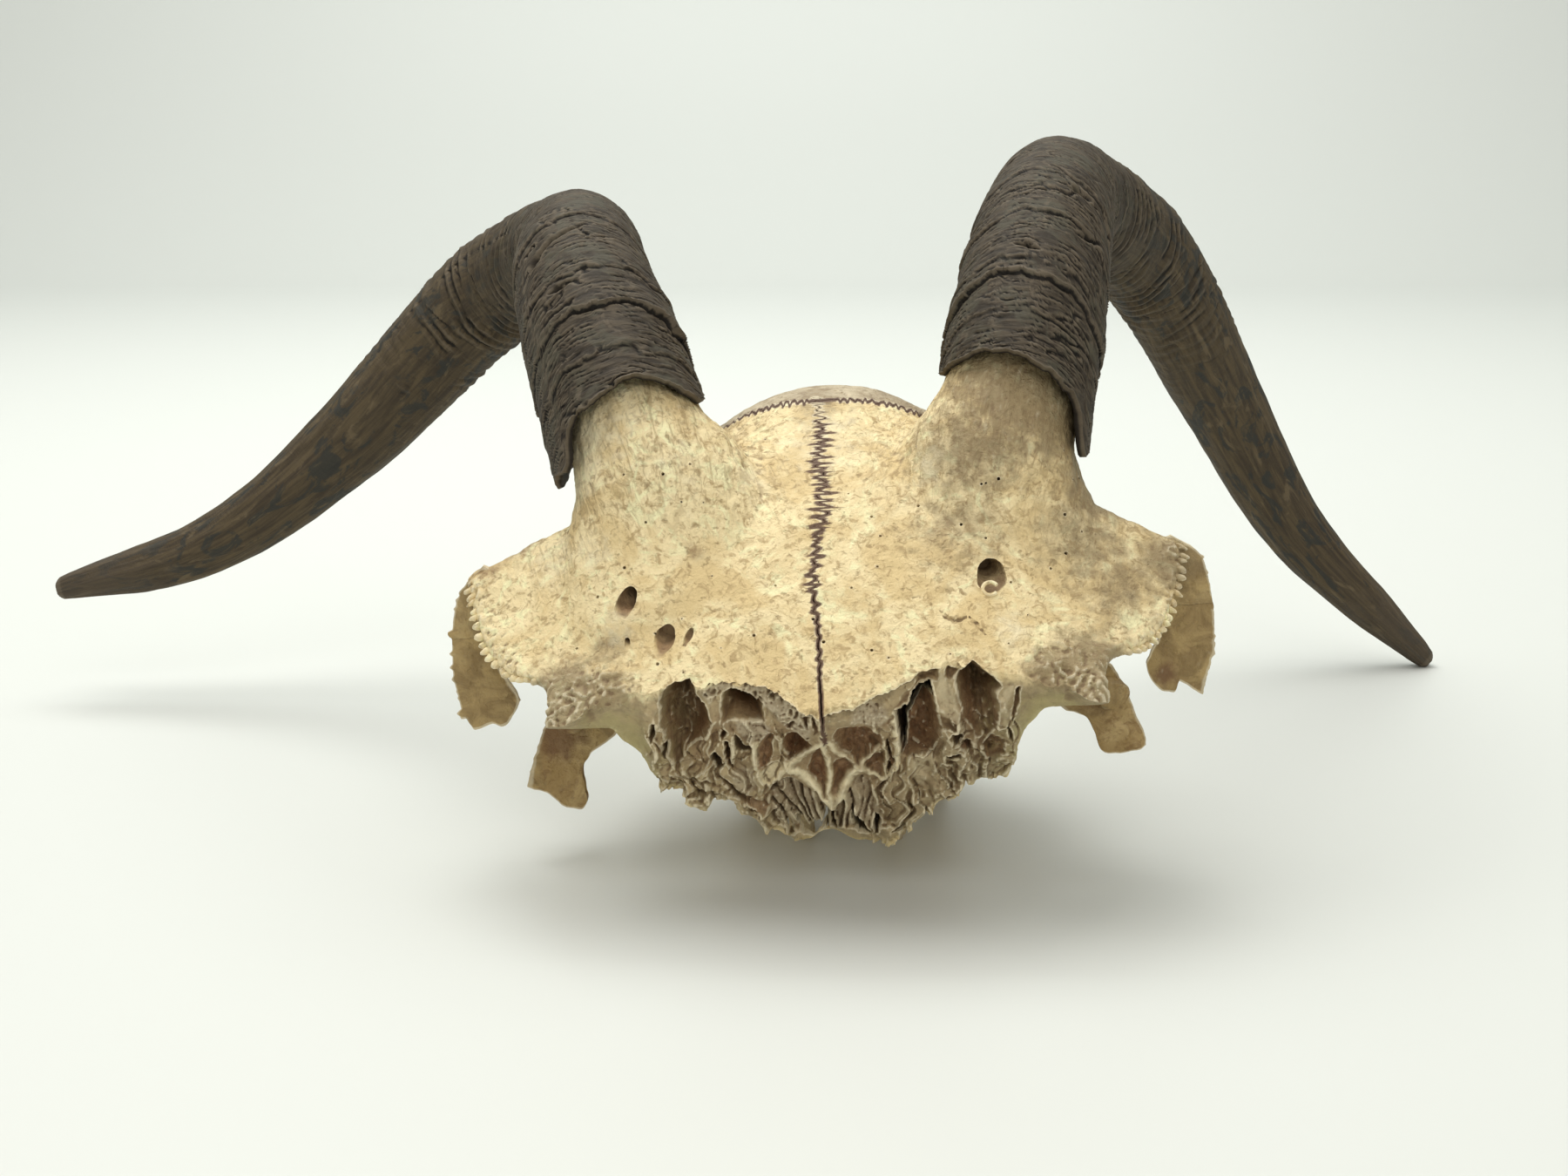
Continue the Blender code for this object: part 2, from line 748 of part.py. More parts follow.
def trim_at_table(obj, resting):
    """Cuts flat whatever would reach below the table once the skull lies in its resting pose."""
    if min((resting @ v.co).z for v in obj.data.vertices) >= 0:
        return
    upright = resting.inverted()
    table = (upright @ Vector((0, 0, 0)), upright.to_3x3() @ Vector((0, 0, -1)))
    keep_largest(mend(boolean(obj, [region([table], 0)], "INTERSECT")))


def lay_down(nodes, resting):
    """Parents every node to one empty that holds the resting pose, centred over the origin."""
    corners = [resting @ v.co for obj in nodes for v in obj.data.vertices]
    middle = Vector((0, 0, 0))
    for axis in (0, 1):
        middle[axis] = (min(c[axis] for c in corners) + max(c[axis] for c in corners)) / 2
    placed = Matrix.Translation(-middle) @ resting
    skull = bpy.data.objects.new("skull", None)
    bpy.context.scene.collection.objects.link(skull)
    skull.location = placed.translation * MM
    skull.rotation_euler = placed.to_euler()
    for obj in nodes:
        obj.data.transform(Matrix.Scale(MM, 4))
        obj.parent = skull


def main():
    """Builds every bone and both horns, then sets them down on the table."""
    clear_scene()
    nodes = [
        *part_into_bones(whole_skull()),
        horn_sheath("horn_sheath_left", LEFT_HORN_LINE, LEFT_HORN_GIRTH, 1),
        horn_sheath("horn_sheath_right", RIGHT_HORN_LINE, RIGHT_HORN_GIRTH, -1),
    ]
    resting = pose()
    for obj in nodes:
        trim_at_table(obj, resting)
        obj.data.materials.clear()
        obj.data.materials.append(material(obj.name, *FINISHES[obj.name]))
        obj.data.shade_smooth()
        obj.data.set_sharp_from_angle(angle=math.radians(40))
    lay_down(nodes, resting)


main()
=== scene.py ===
"""Looks of a weathered goat cranium with both horns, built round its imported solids.

Unless a docstring says otherwise, lengths are millimetres in the upright skull: the animal faces -Y, its own
left is +X and up is +Z. The class Rest takes them to the resting pose, in metres, where the solids lie.
"""

import json
import logging
import math
import random
from dataclasses import dataclass
from enum import Enum

import bmesh
import bpy
import numpy as np
from mathutils import Matrix, Vector
from mathutils.bvhtree import BVHTree

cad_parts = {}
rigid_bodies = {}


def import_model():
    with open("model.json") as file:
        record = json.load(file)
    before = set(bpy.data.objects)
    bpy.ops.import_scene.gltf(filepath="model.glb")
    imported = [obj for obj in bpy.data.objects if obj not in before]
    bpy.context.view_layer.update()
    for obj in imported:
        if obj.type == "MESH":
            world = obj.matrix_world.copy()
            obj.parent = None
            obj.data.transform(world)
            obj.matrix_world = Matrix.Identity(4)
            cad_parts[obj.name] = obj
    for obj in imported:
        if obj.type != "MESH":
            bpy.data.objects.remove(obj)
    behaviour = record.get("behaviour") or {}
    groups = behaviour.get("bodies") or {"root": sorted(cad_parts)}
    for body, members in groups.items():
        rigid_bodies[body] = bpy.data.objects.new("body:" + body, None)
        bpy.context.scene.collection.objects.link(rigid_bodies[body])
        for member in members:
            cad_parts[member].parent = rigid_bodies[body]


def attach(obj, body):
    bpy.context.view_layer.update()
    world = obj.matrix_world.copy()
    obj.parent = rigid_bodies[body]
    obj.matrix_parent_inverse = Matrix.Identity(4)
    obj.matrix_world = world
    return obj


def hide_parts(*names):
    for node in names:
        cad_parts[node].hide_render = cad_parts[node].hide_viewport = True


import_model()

Array = np.ndarray
Object = bpy.types.Object
Mesh = bpy.types.Mesh
Socket = bpy.types.NodeSocket
Input = Socket | float | tuple

LOG = logging.getLogger("goat_skull")
BODY = "root"
MM = 0.001
BREAK_TOP = (-12.5, 37.5)
SEPTUM_X = -0.8


@dataclass(frozen=True)
class Rest:
    """The resting pose: a roll and a turn about the forehead, then the shift that centres the whole."""

    pivot: tuple = (0.0, 0.0, 61.0)
    roll_deg: float = -3.5
    yaw_deg: float = -3.0
    centre: tuple = (-10.966, 81.461, 0.0)

    def matrix(self) -> Matrix:
        """The upright millimetres to the resting metres."""
        yaw = Matrix.Rotation(math.radians(self.yaw_deg), 4, "Z")
        turn = yaw @ Matrix.Rotation(math.radians(self.roll_deg), 4, "Y")
        pivot = Vector(self.pivot)
        placed = Matrix.Translation(pivot - Vector(self.centre)) @ turn @ Matrix.Translation(-pivot)
        return Matrix.Scale(MM, 4) @ placed

    def lay(self, obj: Object) -> None:
        """Moves an object's points into the resting pose; what would reach under the table is pressed flat.

        Args:
            obj: the object, whose points are in upright millimetres.
        """
        obj.data.transform(self.matrix())
        points = points_of(obj.data)
        points[:, 2] = np.maximum(points[:, 2], 0)
        set_points(obj.data, points)


class Tone(Enum):
    """What a stain, or painted shade, does to the bone's colour; each is a point attribute that the finishes
    read.
    """

    GREY = "grey"
    RUST = "rust"
    PALE = "pale"
    OLIVE = "olive"
    AMBER = "amber"
    ASH = "ash"
    UMBER = "umber"
    CREAM = "cream"
    # painted shade: black or darkened colour put where only shadow falls
    PAINTED_SHADE = "dark"
    DEEP = "deep"


def scattered(cell: Array, seed: int) -> Array:
    """Three values from -1 to 1 for each whole-numbered cell, always the same for the same cell.

    Args:
        cell: rows of three whole numbers.
        seed: picks the pattern.

    Returns:
        The values, three a row.
    """
    key = cell @ np.array([374761393, 668265263, 1440662683]) + seed * 1274126177
    key = (key ^ (key >> 13)) * 1274126177
    key ^= key >> 16
    return np.stack([(key >> shift & 255) / 127.5 - 1 for shift in (0, 8, 16)], axis=1)


def noise(points: Array, scale: float, seed: int = 0) -> Array:
    """Gradient noise.

    Args:
        points: rows of x, y, z.
        scale: size of one swell, in the points' unit.
        seed: picks the pattern.

    Returns:
        One value a row, from about -1 to 1.
    """
    spread = points / scale
    cell = np.floor(spread).astype(np.int64)
    local = spread - cell
    fade = local**3 * (local * (local * 6 - 15) + 10)
    total = np.zeros(len(points))
    for corner in np.ndindex(2, 2, 2):
        offset = np.array(corner)
        share = np.prod(np.where(offset, fade, 1 - fade), axis=1)
        total += share * ((local - offset) * scattered(cell + offset, seed)).sum(axis=1)
    return 1.7 * total


def jitter(points: Array, scale: float, seed: int) -> Array:
    """Noise in three directions, to shift points by."""
    return np.stack([noise(points, scale, seed + k) for k in range(3)], axis=1)


def fractal(points: Array, scale: float, octaves: int = 3, seed: int = 0) -> Array:
    """Noise of several sizes added up, each half as large and half as strong as the last."""
    return sum(noise(points, scale / 2**k, seed + k) / 2**k for k in range(octaves))


def creases(points: Array, scale: float, octaves: int = 2, seed: int = 0) -> Array:
    """Ridged noise: near 1 on thin winding lines, lower between them."""
    return sum((1 - 2 * np.abs(noise(points, scale / 2**k, seed + k))) / 2**k for k in range(octaves))


def honeycomb(points: Array, scale: float, seed: int = 0) -> Array:
    """Irregular cells: 0 on the thin walls between them, up to about 1 in their middles.

    Args:
        points: rows of x, y, z.
        scale: size of one cell.
        seed: picks the pattern.

    Returns:
        One value a row.
    """
    spread = points / scale
    cell = np.floor(spread).astype(np.int64)
    nearest = np.full(len(points), 9.0)
    second = nearest.copy()
    for corner in np.ndindex(3, 3, 3):
        other = cell + np.array(corner) - 1
        gap = np.linalg.norm(other + 0.5 + 0.42 * scattered(other, seed) - spread, axis=1)
        second = np.minimum(second, np.maximum(nearest, gap))
        nearest = np.minimum(nearest, gap)
    return second - nearest


def rise(low: float, high: float, values: Array) -> Array:
    """A smooth step from 0 at low to 1 at high."""
    share = np.clip((values - low) / (high - low), 0, 1)
    return share * share * (3 - 2 * share)


def swell(points: Array, centre: tuple, radius: float) -> Array:
    """A round bump of 1 at the centre that is gone two radii away."""
    return np.exp(-((points - np.array(centre)) ** 2).sum(axis=1) / radius**2)


def spline(corners: tuple, t: float | Array) -> Array:
    """A place between the middle two of four points, on the Catmull-Rom curve through them.

    Args:
        corners: the four points, or four arrays of points.
        t: how far along the place is, from 0 to 1.

    Returns:
        The place, or the places.
    """
    a, b, c, d = corners
    square = (2 * a - 5 * b + 4 * c - d) * t**2
    return 0.5 * (2 * b + (c - a) * t + square + (3 * b - a - 3 * c + d) * t**3)


def curve_through(points: tuple, spacing: float) -> Array:
    """Evenly spaced points along a Catmull-Rom curve.

    Args:
        points: rows of any width, whose first three values are the place.
        spacing: distance between the points returned.

    Returns:
        The resampled rows.
    """
    rows = np.array(points, float)
    ends = np.vstack([2 * rows[0] - rows[1], rows, 2 * rows[-1] - rows[-2]])
    dense = []
    for corners in zip(ends, ends[1:], ends[2:], ends[3:]):
        for t in np.linspace(0, 1, 24, endpoint=False):
            dense.append(spline(corners, t))
    dense = np.array([*dense, rows[-1]])
    run = np.concatenate([[0], np.cumsum(np.linalg.norm(np.diff(dense[:, :3], axis=0), axis=1))])
    wanted = np.linspace(0, run[-1], max(2, round(run[-1] / spacing) + 1))
    return np.stack([np.interp(wanted, run, column) for column in dense.T], axis=1)


def along_x(values: Array) -> Array:
    """Points on the X axis, for noise along a line."""
    return np.stack([values, np.zeros_like(values), np.zeros_like(values)], axis=1)


def on_break(x: float, down: float, back: float) -> Array:
    """A point down the break across the nose, then back along the skull."""
    return np.array([x, BREAK_TOP[0] + 0.56 * down + 0.75 * back, BREAK_TOP[1] - 0.83 * down + 0.66 * back])


def linked(name: str, data: bpy.types.ID) -> Object:
    """Puts a new object in the scene.

    Args:
        name: its name.
        data: its mesh, light or camera.

    Returns:
        The object.
    """
    obj = bpy.data.objects.new(name, data)
    bpy.context.scene.collection.objects.link(obj)
    return obj


def object_from(name: str, points: Array, faces: list) -> Object:
    """A linked mesh object whose faces are turned outwards.

    Args:
        name: its name.
        points: rows of x, y, z.
        faces: the corner numbers of each face.

    Returns:
        The object.
    """
    mesh = bpy.data.meshes.new(name)
    mesh.from_pydata(points.tolist(), [], faces)
    bm = bmesh.new()
    bm.from_mesh(mesh)
    bmesh.ops.recalc_face_normals(bm, faces=bm.faces)
    bm.to_mesh(mesh)
    bm.free()
    return linked(name, mesh)


def grid_faces(rows: int, columns: int, start: int = 0, wrap: bool = False) -> list:
    """Quads of a grid of points stored row by row.

    Args:
        rows: how many rows.
        columns: how many points in a row.
        start: number of the first point.
        wrap: whether each row closes on itself.

    Returns:
        The corner numbers of each face.
    """
    faces = []
    for i in range(rows - 1):
        for k in range(columns if wrap else columns - 1):
            a, b = start + i * columns + k, start + i * columns + (k + 1) % columns
            faces.append((a, b, b + columns, a + columns))
    return faces


def tube(name: str, rings: Array) -> Object:
    """A closed object through rings of equal point counts, with flat ends.

    Args:
        name: its name.
        rings: points, ring by ring.

    Returns:
        The object.
    """
    count, sides = rings.shape[:2]
    faces = grid_faces(count, sides, wrap=True)
    faces.append(tuple(range(sides)))
    faces.append(tuple(range((count - 1) * sides, count * sides)))
    return object_from(name, rings.reshape(-1, 3), faces)


def slab(name: str, front: Array, rear: Array) -> Object:
    """A closed solid between two grids of points of the same shape.

    Args:
        name: its name.
        front: points of one face, in rows and columns.
        rear: points of the other face.

    Returns:
        The object.
    """
    rows, columns = front.shape[:2]
    count = rows * columns
    faces = grid_faces(rows, columns) + grid_faces(rows, columns, count)
    edge = list(range(columns))
    edge += [i * columns + columns - 1 for i in range(1, rows)]
    edge += [(rows - 1) * columns + k for k in range(columns - 2, -1, -1)]
    edge += [i * columns for i in range(rows - 2, 0, -1)]
    for a, b in zip(edge, edge[1:] + edge[:1]):
        faces.append((a, b, b + count, a + count))
    return object_from(name, np.vstack([front.reshape(-1, 3), rear.reshape(-1, 3)]), faces)


def limb(
    stations: tuple, width_along: tuple = (1, 0, 0), sides: int = 24, spacing: float = 3.0
) -> Object:
    """A tapering bar.

    Args:
        stations: rows of x, y, z, half width and half depth.
        width_along: the direction that the width is measured in.
        sides: points round the bar.
        spacing: distance between its rings.

    Returns:
        The closed bar.
    """
    rows = curve_through(stations, spacing)
    ahead = np.gradient(rows[:, :3], axis=0)
    ahead /= np.linalg.norm(ahead, axis=1, keepdims=True)
    side = np.array(width_along) - ahead * (ahead @ np.array(width_along))[:, None]
    side /= np.linalg.norm(side, axis=1, keepdims=True)
    across = np.cross(ahead, side)
    angle = np.linspace(0, math.tau, sides, endpoint=False)[None, :, None]
    rings = rows[:, None, :3] + side[:, None] * rows[:, None, 3:4] * np.cos(angle)
    rings = rings + across[:, None] * rows[:, None, 4:5] * np.sin(angle)
    return tube("limb", rings)


def ball(centre: tuple, radii: tuple, tilt_deg: float = 0.0, detail: int = 4) -> Object:
    """A ball scaled to three radii and tipped about X.

    Args:
        centre: its middle.
        radii: half sizes along X, Y and Z.
        tilt_deg: the turn about X.
        detail: how often its surface is divided.

    Returns:
        The object.
    """
    bm = bmesh.new()
    place = Matrix.Translation(centre) @ Matrix.Rotation(math.radians(tilt_deg), 4, "X")
    bmesh.ops.create_icosphere(bm, subdivisions=detail, radius=1, matrix=place @ Matrix.Diagonal((*radii, 1)))
    mesh = bpy.data.meshes.new("ball")
    bm.to_mesh(mesh)
    bm.free()
    return linked("ball", mesh)


def mirrored(stations: tuple) -> tuple:
    """The same stations on the animal's right side."""
    return tuple((-row[0], *row[1:]) for row in stations)


def read(source: bpy.types.bpy_prop_collection, field: str) -> Array:
    """Reads three numbers for each point.

    Args:
        source: the mesh's points or normals.
        field: the name of the numbers.

    Returns:
        Rows of x, y, z.
    """
    values = np.zeros(len(source) * 3)
    source.foreach_get(field, values)
    return values.reshape(-1, 3)


def points_of(mesh: Mesh) -> Array:
    """The mesh's points, one a row."""
    return read(mesh.vertices, "co")


def normals_of(mesh: Mesh) -> Array:
    """The outward direction at each point, one a row."""
    return read(mesh.vertex_normals, "vector")


def set_points(mesh: Mesh, points: Array) -> None:
    """Moves the mesh's points."""
    mesh.vertices.foreach_set("co", points.ravel())
    mesh.update()


def push(obj: Object, heights: Array) -> Object:
    """Moves each point outwards by its own height."""
    set_points(obj.data, points_of(obj.data) + normals_of(obj.data) * heights[:, None])
    return obj


def roughen(obj: Object, amount: float, scale: float, seed: int) -> Object:
    """Pushes an object's surface in and out by noise."""
    return push(obj, amount * fractal(points_of(obj.data), scale, 3, seed))


def tunnel(stations: tuple, amount: float, seed: int, width_along: tuple = (1, 0, 0)) -> Object:
    """A rough-walled bar to cut a hole with, through stations as limb takes them."""
    return roughen(limb(stations, width_along, sides=28, spacing=0.8), amount, 2.6, seed)


def neighbour_mean(mesh: Mesh, values: Array) -> Array:
    """The mean of each point's neighbours, for one or several columns of values.

    Args:
        mesh: the mesh.
        values: one row a point.

    Returns:
        The means, in the same shape.
    """
    ends = np.zeros(len(mesh.edges) * 2, np.int64)
    mesh.edges.foreach_get("vertices", ends)
    first, second = ends.reshape(-1, 2).T
    count = len(mesh.vertices)
    links = np.maximum(np.bincount(first, minlength=count) + np.bincount(second, minlength=count), 1)
    columns = [
        (np.bincount(first, column[second], count) + np.bincount(second, column[first], count)) / links
        for column in np.atleast_2d(values.T)
    ]
    return np.array(columns).T.reshape(values.shape)


def hollowness(mesh: Mesh, passes: int) -> Array:
    """How far each point lies below those around it: above 0 in a groove, below 0 on a crest.

    Args:
        mesh: the mesh.
        passes: how often the result is evened out.

    Returns:
        One value a point.
    """
    points = points_of(mesh)
    sunk = ((neighbour_mean(mesh, points) - points) * normals_of(mesh)).sum(axis=1)
    for _ in range(passes):
        sunk = 0.5 * sunk + 0.5 * neighbour_mean(mesh, sunk)
    return sunk


def store(mesh: Mesh, name: str, values: Array) -> None:
    """Keeps a value, or three, for each point as an attribute."""
    kind, field = ("FLOAT", "value") if values.ndim == 1 else ("FLOAT_VECTOR", "vector")
    mesh.attributes.new(name, kind, "POINT").data.foreach_set(field, values.astype(np.float32).ravel())


def bake(obj: Object) -> None:
    """Applies an object's modifiers to its mesh.

    Args:
        obj: the object.
    """
    graph = bpy.context.evaluated_depsgraph_get()
    mesh = bpy.data.meshes.new_from_object(obj.evaluated_get(graph))
    obj.modifiers.clear()
    old, obj.data = obj.data, mesh
    bpy.data.meshes.remove(old)


def discard(objects: list) -> None:
    """Removes helper objects."""
    for obj in objects:
        bpy.data.objects.remove(obj, do_unlink=True)


def combine(obj: Object, others: list, operation: str) -> Object:
    """Joins, cuts or intersects an object with closed objects, which are then removed.

    Args:
        obj: the object that stays.
        others: the closed objects used on it.
        operation: UNION, DIFFERENCE or INTERSECT.

    Returns:
        The object.
    """
    helpers = bpy.data.collections.new("helpers")
    bpy.context.scene.collection.children.link(helpers)
    for other in others:
        helpers.objects.link(other)
    modifier = obj.modifiers.new("combine", "BOOLEAN")
    modifier.operation = operation
    modifier.operand_type = "COLLECTION"
    modifier.collection = helpers
    modifier.solver = "MANIFOLD"
    bake(obj)
    discard(others)
    bpy.data.collections.remove(helpers)
    return obj


def merged(pieces: list, name: str) -> Object:
    """One object that holds every piece's mesh.

    Args:
        pieces: the objects, which are removed.
        name: the new object's name.

    Returns:
        The new object.
    """
    bm = bmesh.new()
    for piece in pieces:
        bm.from_mesh(piece.data)
    discard(pieces)
    mesh = bpy.data.meshes.new(name)
    bm.to_mesh(mesh)
    bm.free()
    return linked(name, mesh)


def loose_parts(obj: Object) -> list:
    """Splits an object into its unconnected parts.

    Args:
        obj: the object, which keeps one of them.

    Returns:
        All the parts.
    """
    before = set(bpy.data.objects)
    for other in bpy.context.selected_objects:
        other.select_set(False)
    bpy.context.view_layer.objects.active = obj
    obj.select_set(True)
    bpy.ops.mesh.separate(type="LOOSE")
    obj.select_set(False)
    return [obj, *(o for o in bpy.data.objects if o not in before)]


@dataclass
class Forehead:
    """The plate of both frontals, from the broken nose back to the bregma."""

    midline: tuple = ((-25, 30.6), (-9, 51), (0, 61), (8, 68.5), (17, 75), (26, 80), (36, 84.4), (45, 85.5))
    edge: tuple = (
        (48, -13.5, 38.1), (49.5, -6, 44), (57, 0, 45.5), (62, 7, 50.5), (64.2, 16, 59.5), (57, 23, 56.4),
        (47, 32, 58.8), (35, 42, 64.8),
    )
    thickness: float = 8.5
    rim_thickness: float = 3.6
    left_reach: float = 0.972
    across: int = 40

    def plate(self, above: float = 0.0) -> Object:
        """Makes the plate, which may reach further out than the skin.

        Args:
            above: how far out of the skin it reaches.

        Returns:
            The closed plate.
        """
        rows = 60
        share = np.linspace(0, 1, rows)
        middle = self.sampled(tuple((0, *p) for p in self.midline), share)
        rim = self.sampled(self.edge, share)
        ahead = np.gradient(middle, axis=0)
        inward = np.stack([np.zeros(rows), ahead[:, 2], -ahead[:, 1]], axis=1)
        inward /= np.linalg.norm(inward, axis=1, keepdims=True)
        u = np.linspace(-1, 1, 2 * self.across + 1)[None, :, None]
        outer = middle[:, None] * (1 - u * u) + rim[:, None] * u * u
        outer[:, :, 0] = rim[:, None, 0] * u[:, :, 0] * np.where(u[:, :, 0] > 0, self.left_reach, 1)
        thick = self.rim_thickness + (self.thickness - self.rim_thickness) * (1 - u * u) ** 0.8
        return slab("forehead", outer - inward[:, None] * above, outer + inward[:, None] * thick)

    @staticmethod
    def sampled(points: tuple, share: Array) -> Array:
        """Places on a smooth curve through the points, spread evenly over its spans.

        Args:
            points: the points.
            share: how far along each place is, from 0 to 1.

        Returns:
            The places, one a row.
        """
        spans = len(points) - 1
        line = np.array(points, float)
        ends = np.vstack([2 * line[0] - line[1], line, 2 * line[-1] - line[-2]])
        at = np.minimum((share * spans).astype(int), spans - 1)
        t = (share * spans - at)[:, None]
        return spline(tuple(ends[at + k] for k in range(4)), t)


@dataclass
class Horn:
    """One horn: the bone core's foot and the ringed, cracked sheath over it.

    The side is 1 on the animal's left and -1 on its right. Rows of girth hold the share of the length, half
    width and half depth; of mouth, the turn about the horn and where the sheath starts there; of ledges,
    length and drop; of slits, length, turn, reach, half width, depth and slope; of core, the distance from
    the foot, half width, half depth, sink and sideways shift.
    """

    name: str
    side: int
    line: tuple
    girth: tuple
    mouth: tuple
    ledges: tuple
    slits: tuple
    seed: int
    core: tuple = (
        (-46, 19, 7.5, 7.0, 0),
        (-38, 21.5, 9.2, 5.9, 0.5),
        (-30, 22.0, 10.8, 6.0, 1.0),
        (-22, 20.6, 12.4, 5.4, 1.8),
        (-14, 18.3, 13.6, 3.4, 2.6),
        (-8, 15.9, 14.0, 1.6, 2.5),
        (-3, 13.7, 13.9, 0.6, 1.6),
        (3, 12.6, 13.3, 0, 1.0),
        (9, 11.9, 12.8, 0, 0.5),
        (16, 11.2, 12.2, 0, 0),
    )
    lead: float = 12.0
    wall: float = 2.2
    socket: float = 13.5
    radius: float = 14.0
    sides: int = 200

    def axis(self) -> Array:
        """The direction in which the core leaves the forehead."""
        start = np.array(self.line[1], float) - np.array(self.line[0], float)
        return start / np.linalg.norm(start)

    def core_foot(self) -> Object:
        """The bone core, flaring into the forehead below and ending inside the sheath.

        Returns:
            The closed core.
        """
        base = np.array(self.line[0], float)
        inward = np.array([0, 0.66, -0.75])
        stations = []
        for distance, width, depth, sink, shift in self.core:
            aside = np.array([math.copysign(shift, base[0]), 0, 0])
            centre = base + self.axis() * distance + inward * sink - aside
            stations.append((*centre, width, depth))
        return limb(tuple(stations), sides=36)

    def spine(self, lengths: Array) -> tuple:
        """The centreline and its two cross directions at the given lengths.

        Args:
            lengths: distances from the start, which lies a lead before the first point; any shape.

        Returns:
            The places, the sideways and the rearward directions, and the whole length.
        """
        base = np.array(self.line[0], float) - self.axis() * self.lead
        line = curve_through((tuple(base), *self.line), 0.5)
        run = np.concatenate([[0], np.cumsum(np.linalg.norm(np.diff(line, axis=0), axis=1))])
        ahead = np.gradient(line, axis=0)
        ahead /= np.linalg.norm(ahead, axis=1, keepdims=True)
        sideways = np.zeros_like(line)
        held = np.array([1.0, 0, 0])
        for i, direction in enumerate(ahead):
            held = held - direction * held.dot(direction)
            held /= np.linalg.norm(held)
            sideways[i] = held
        rearward = np.cross(ahead, sideways)

        def at(values: Array) -> Array:
            """The values at the wanted lengths."""
            return np.stack([np.interp(lengths, run, column) for column in values.T], axis=-1)

        return at(line), at(sideways), at(rearward), run[-1]

    def straightened(self, length: Array, angle: Array) -> Array:
        """Places on a straight cylinder, for patterns that follow the horn's bends."""
        return np.stack([length, self.radius * np.cos(angle), self.radius * np.sin(angle)], axis=1)

    def relief(self, length: Array, angle: Array, whole: float) -> Array:
        """Height of rings, ledges, cracks and peeling fibres over the plain sheath.

        Args:
            length: distance along the horn, one value a point.
            angle: turn about the horn, one value a point.
            whole: the horn's length.

        Returns:
            The height of each point.
        """
        front = angle + math.pi / 2
        straight = self.straightened(length, angle)
        bent = length + 4.6 * (1 - np.cos(front)) + 0.9 * noise(straight, 13, self.seed)
        ringed = 1 - rise(0.5, 0.68, length / whole)
        near = 1 - rise(0.28, 0.42, length / whole)
        height = np.zeros_like(length)
        for place, drop in self.ledges:
            past = bent - place - 1.1 * fractal(straight, 5.0, 3, self.seed + 3)
            strength = drop * (0.75 + 0.6 * noise(straight, 11, self.seed + 4))
            height += strength * rise(-0.1, 0.15, past) * np.exp(-np.maximum(past, 0) / 9.0)
            height -= 0.5 * strength * np.exp(-((past + 0.35) ** 2) / 0.16)
        for period, depth, seed in ((4.4, 0.34, 5), (2.3, 0.2, 6)):
            wander = 0.9 * noise(straight * (1, 0.6, 0.6), 3.0, self.seed + seed)
            phase = (bent + wander) / period % 1
            patch = rise(0.0, 0.5, noise(straight * (1, 0.5, 0.5), 6.5, self.seed + 10 + seed))
            height += ringed * depth * patch * (phase - 0.5)
        bark = straight * (1, 0.34, 0.34) + 0.9 * jitter(straight, 3.2, self.seed + 22)
        cracks = rise(0.82, 0.99, creases(bark, 3.6, 1, self.seed + 20))
        cracks *= rise(0.0, 0.45, noise(straight, 8, self.seed + 25))
        small = rise(0.84, 0.99, creases(bark, 1.7, 1, self.seed + 26))
        small *= rise(0.0, 0.4, noise(straight, 5, self.seed + 27))
        height -= near * (0.6 * cracks + 0.2 * small)
        wander = 1.1 * fractal(straight * (1, 0.5, 0.5), 4.5, 3, self.seed + 29)
        rings = np.abs((bent + wander) / 1.35 % 1 - 0.5)
        patch = rise(-0.35, 0.15, noise(straight, 4.5, self.seed + 30))
        height -= near * 0.34 * rise(0.15, 0.0, rings) * patch
        fibres = 0.08 * ringed * noise(straight * (1, 0.16, 0.16), 0.8, self.seed + 21)
        height += near * 0.11 * fractal(bark, 2.4, 3, self.seed + 28) + fibres
        arcs = np.sin(math.tau * (length + 1.6 * noise(straight, 9, self.seed + 30)) / 3.3)
        bend = rise(0.3, 0.42, length / whole) * ringed
        patch = rise(-0.4, 0.4, noise(straight * (1, 0.6, 0.6), 8, self.seed + 31))
        height += 0.36 * bend * arcs * patch
        swells = fractal(straight * (0.35, 1, 1), 7, 3, self.seed + 40)
        height += 0.30 * swells * (1 - 0.55 * ringed)
        for place, turn, reach, width, depth, slope in self.slits:
            off = (angle - turn + math.pi) % math.tau - math.pi
            along = self.radius * off
            beside = length - place - slope * along - 0.5 * noise(straight, 2.5, self.seed + 50)
            taper = np.clip(1 - (along / reach) ** 2, 0, 1)
            height -= depth * taper * np.exp(-((beside / (width * (0.4 + 0.6 * taper))) ** 2))
        return height

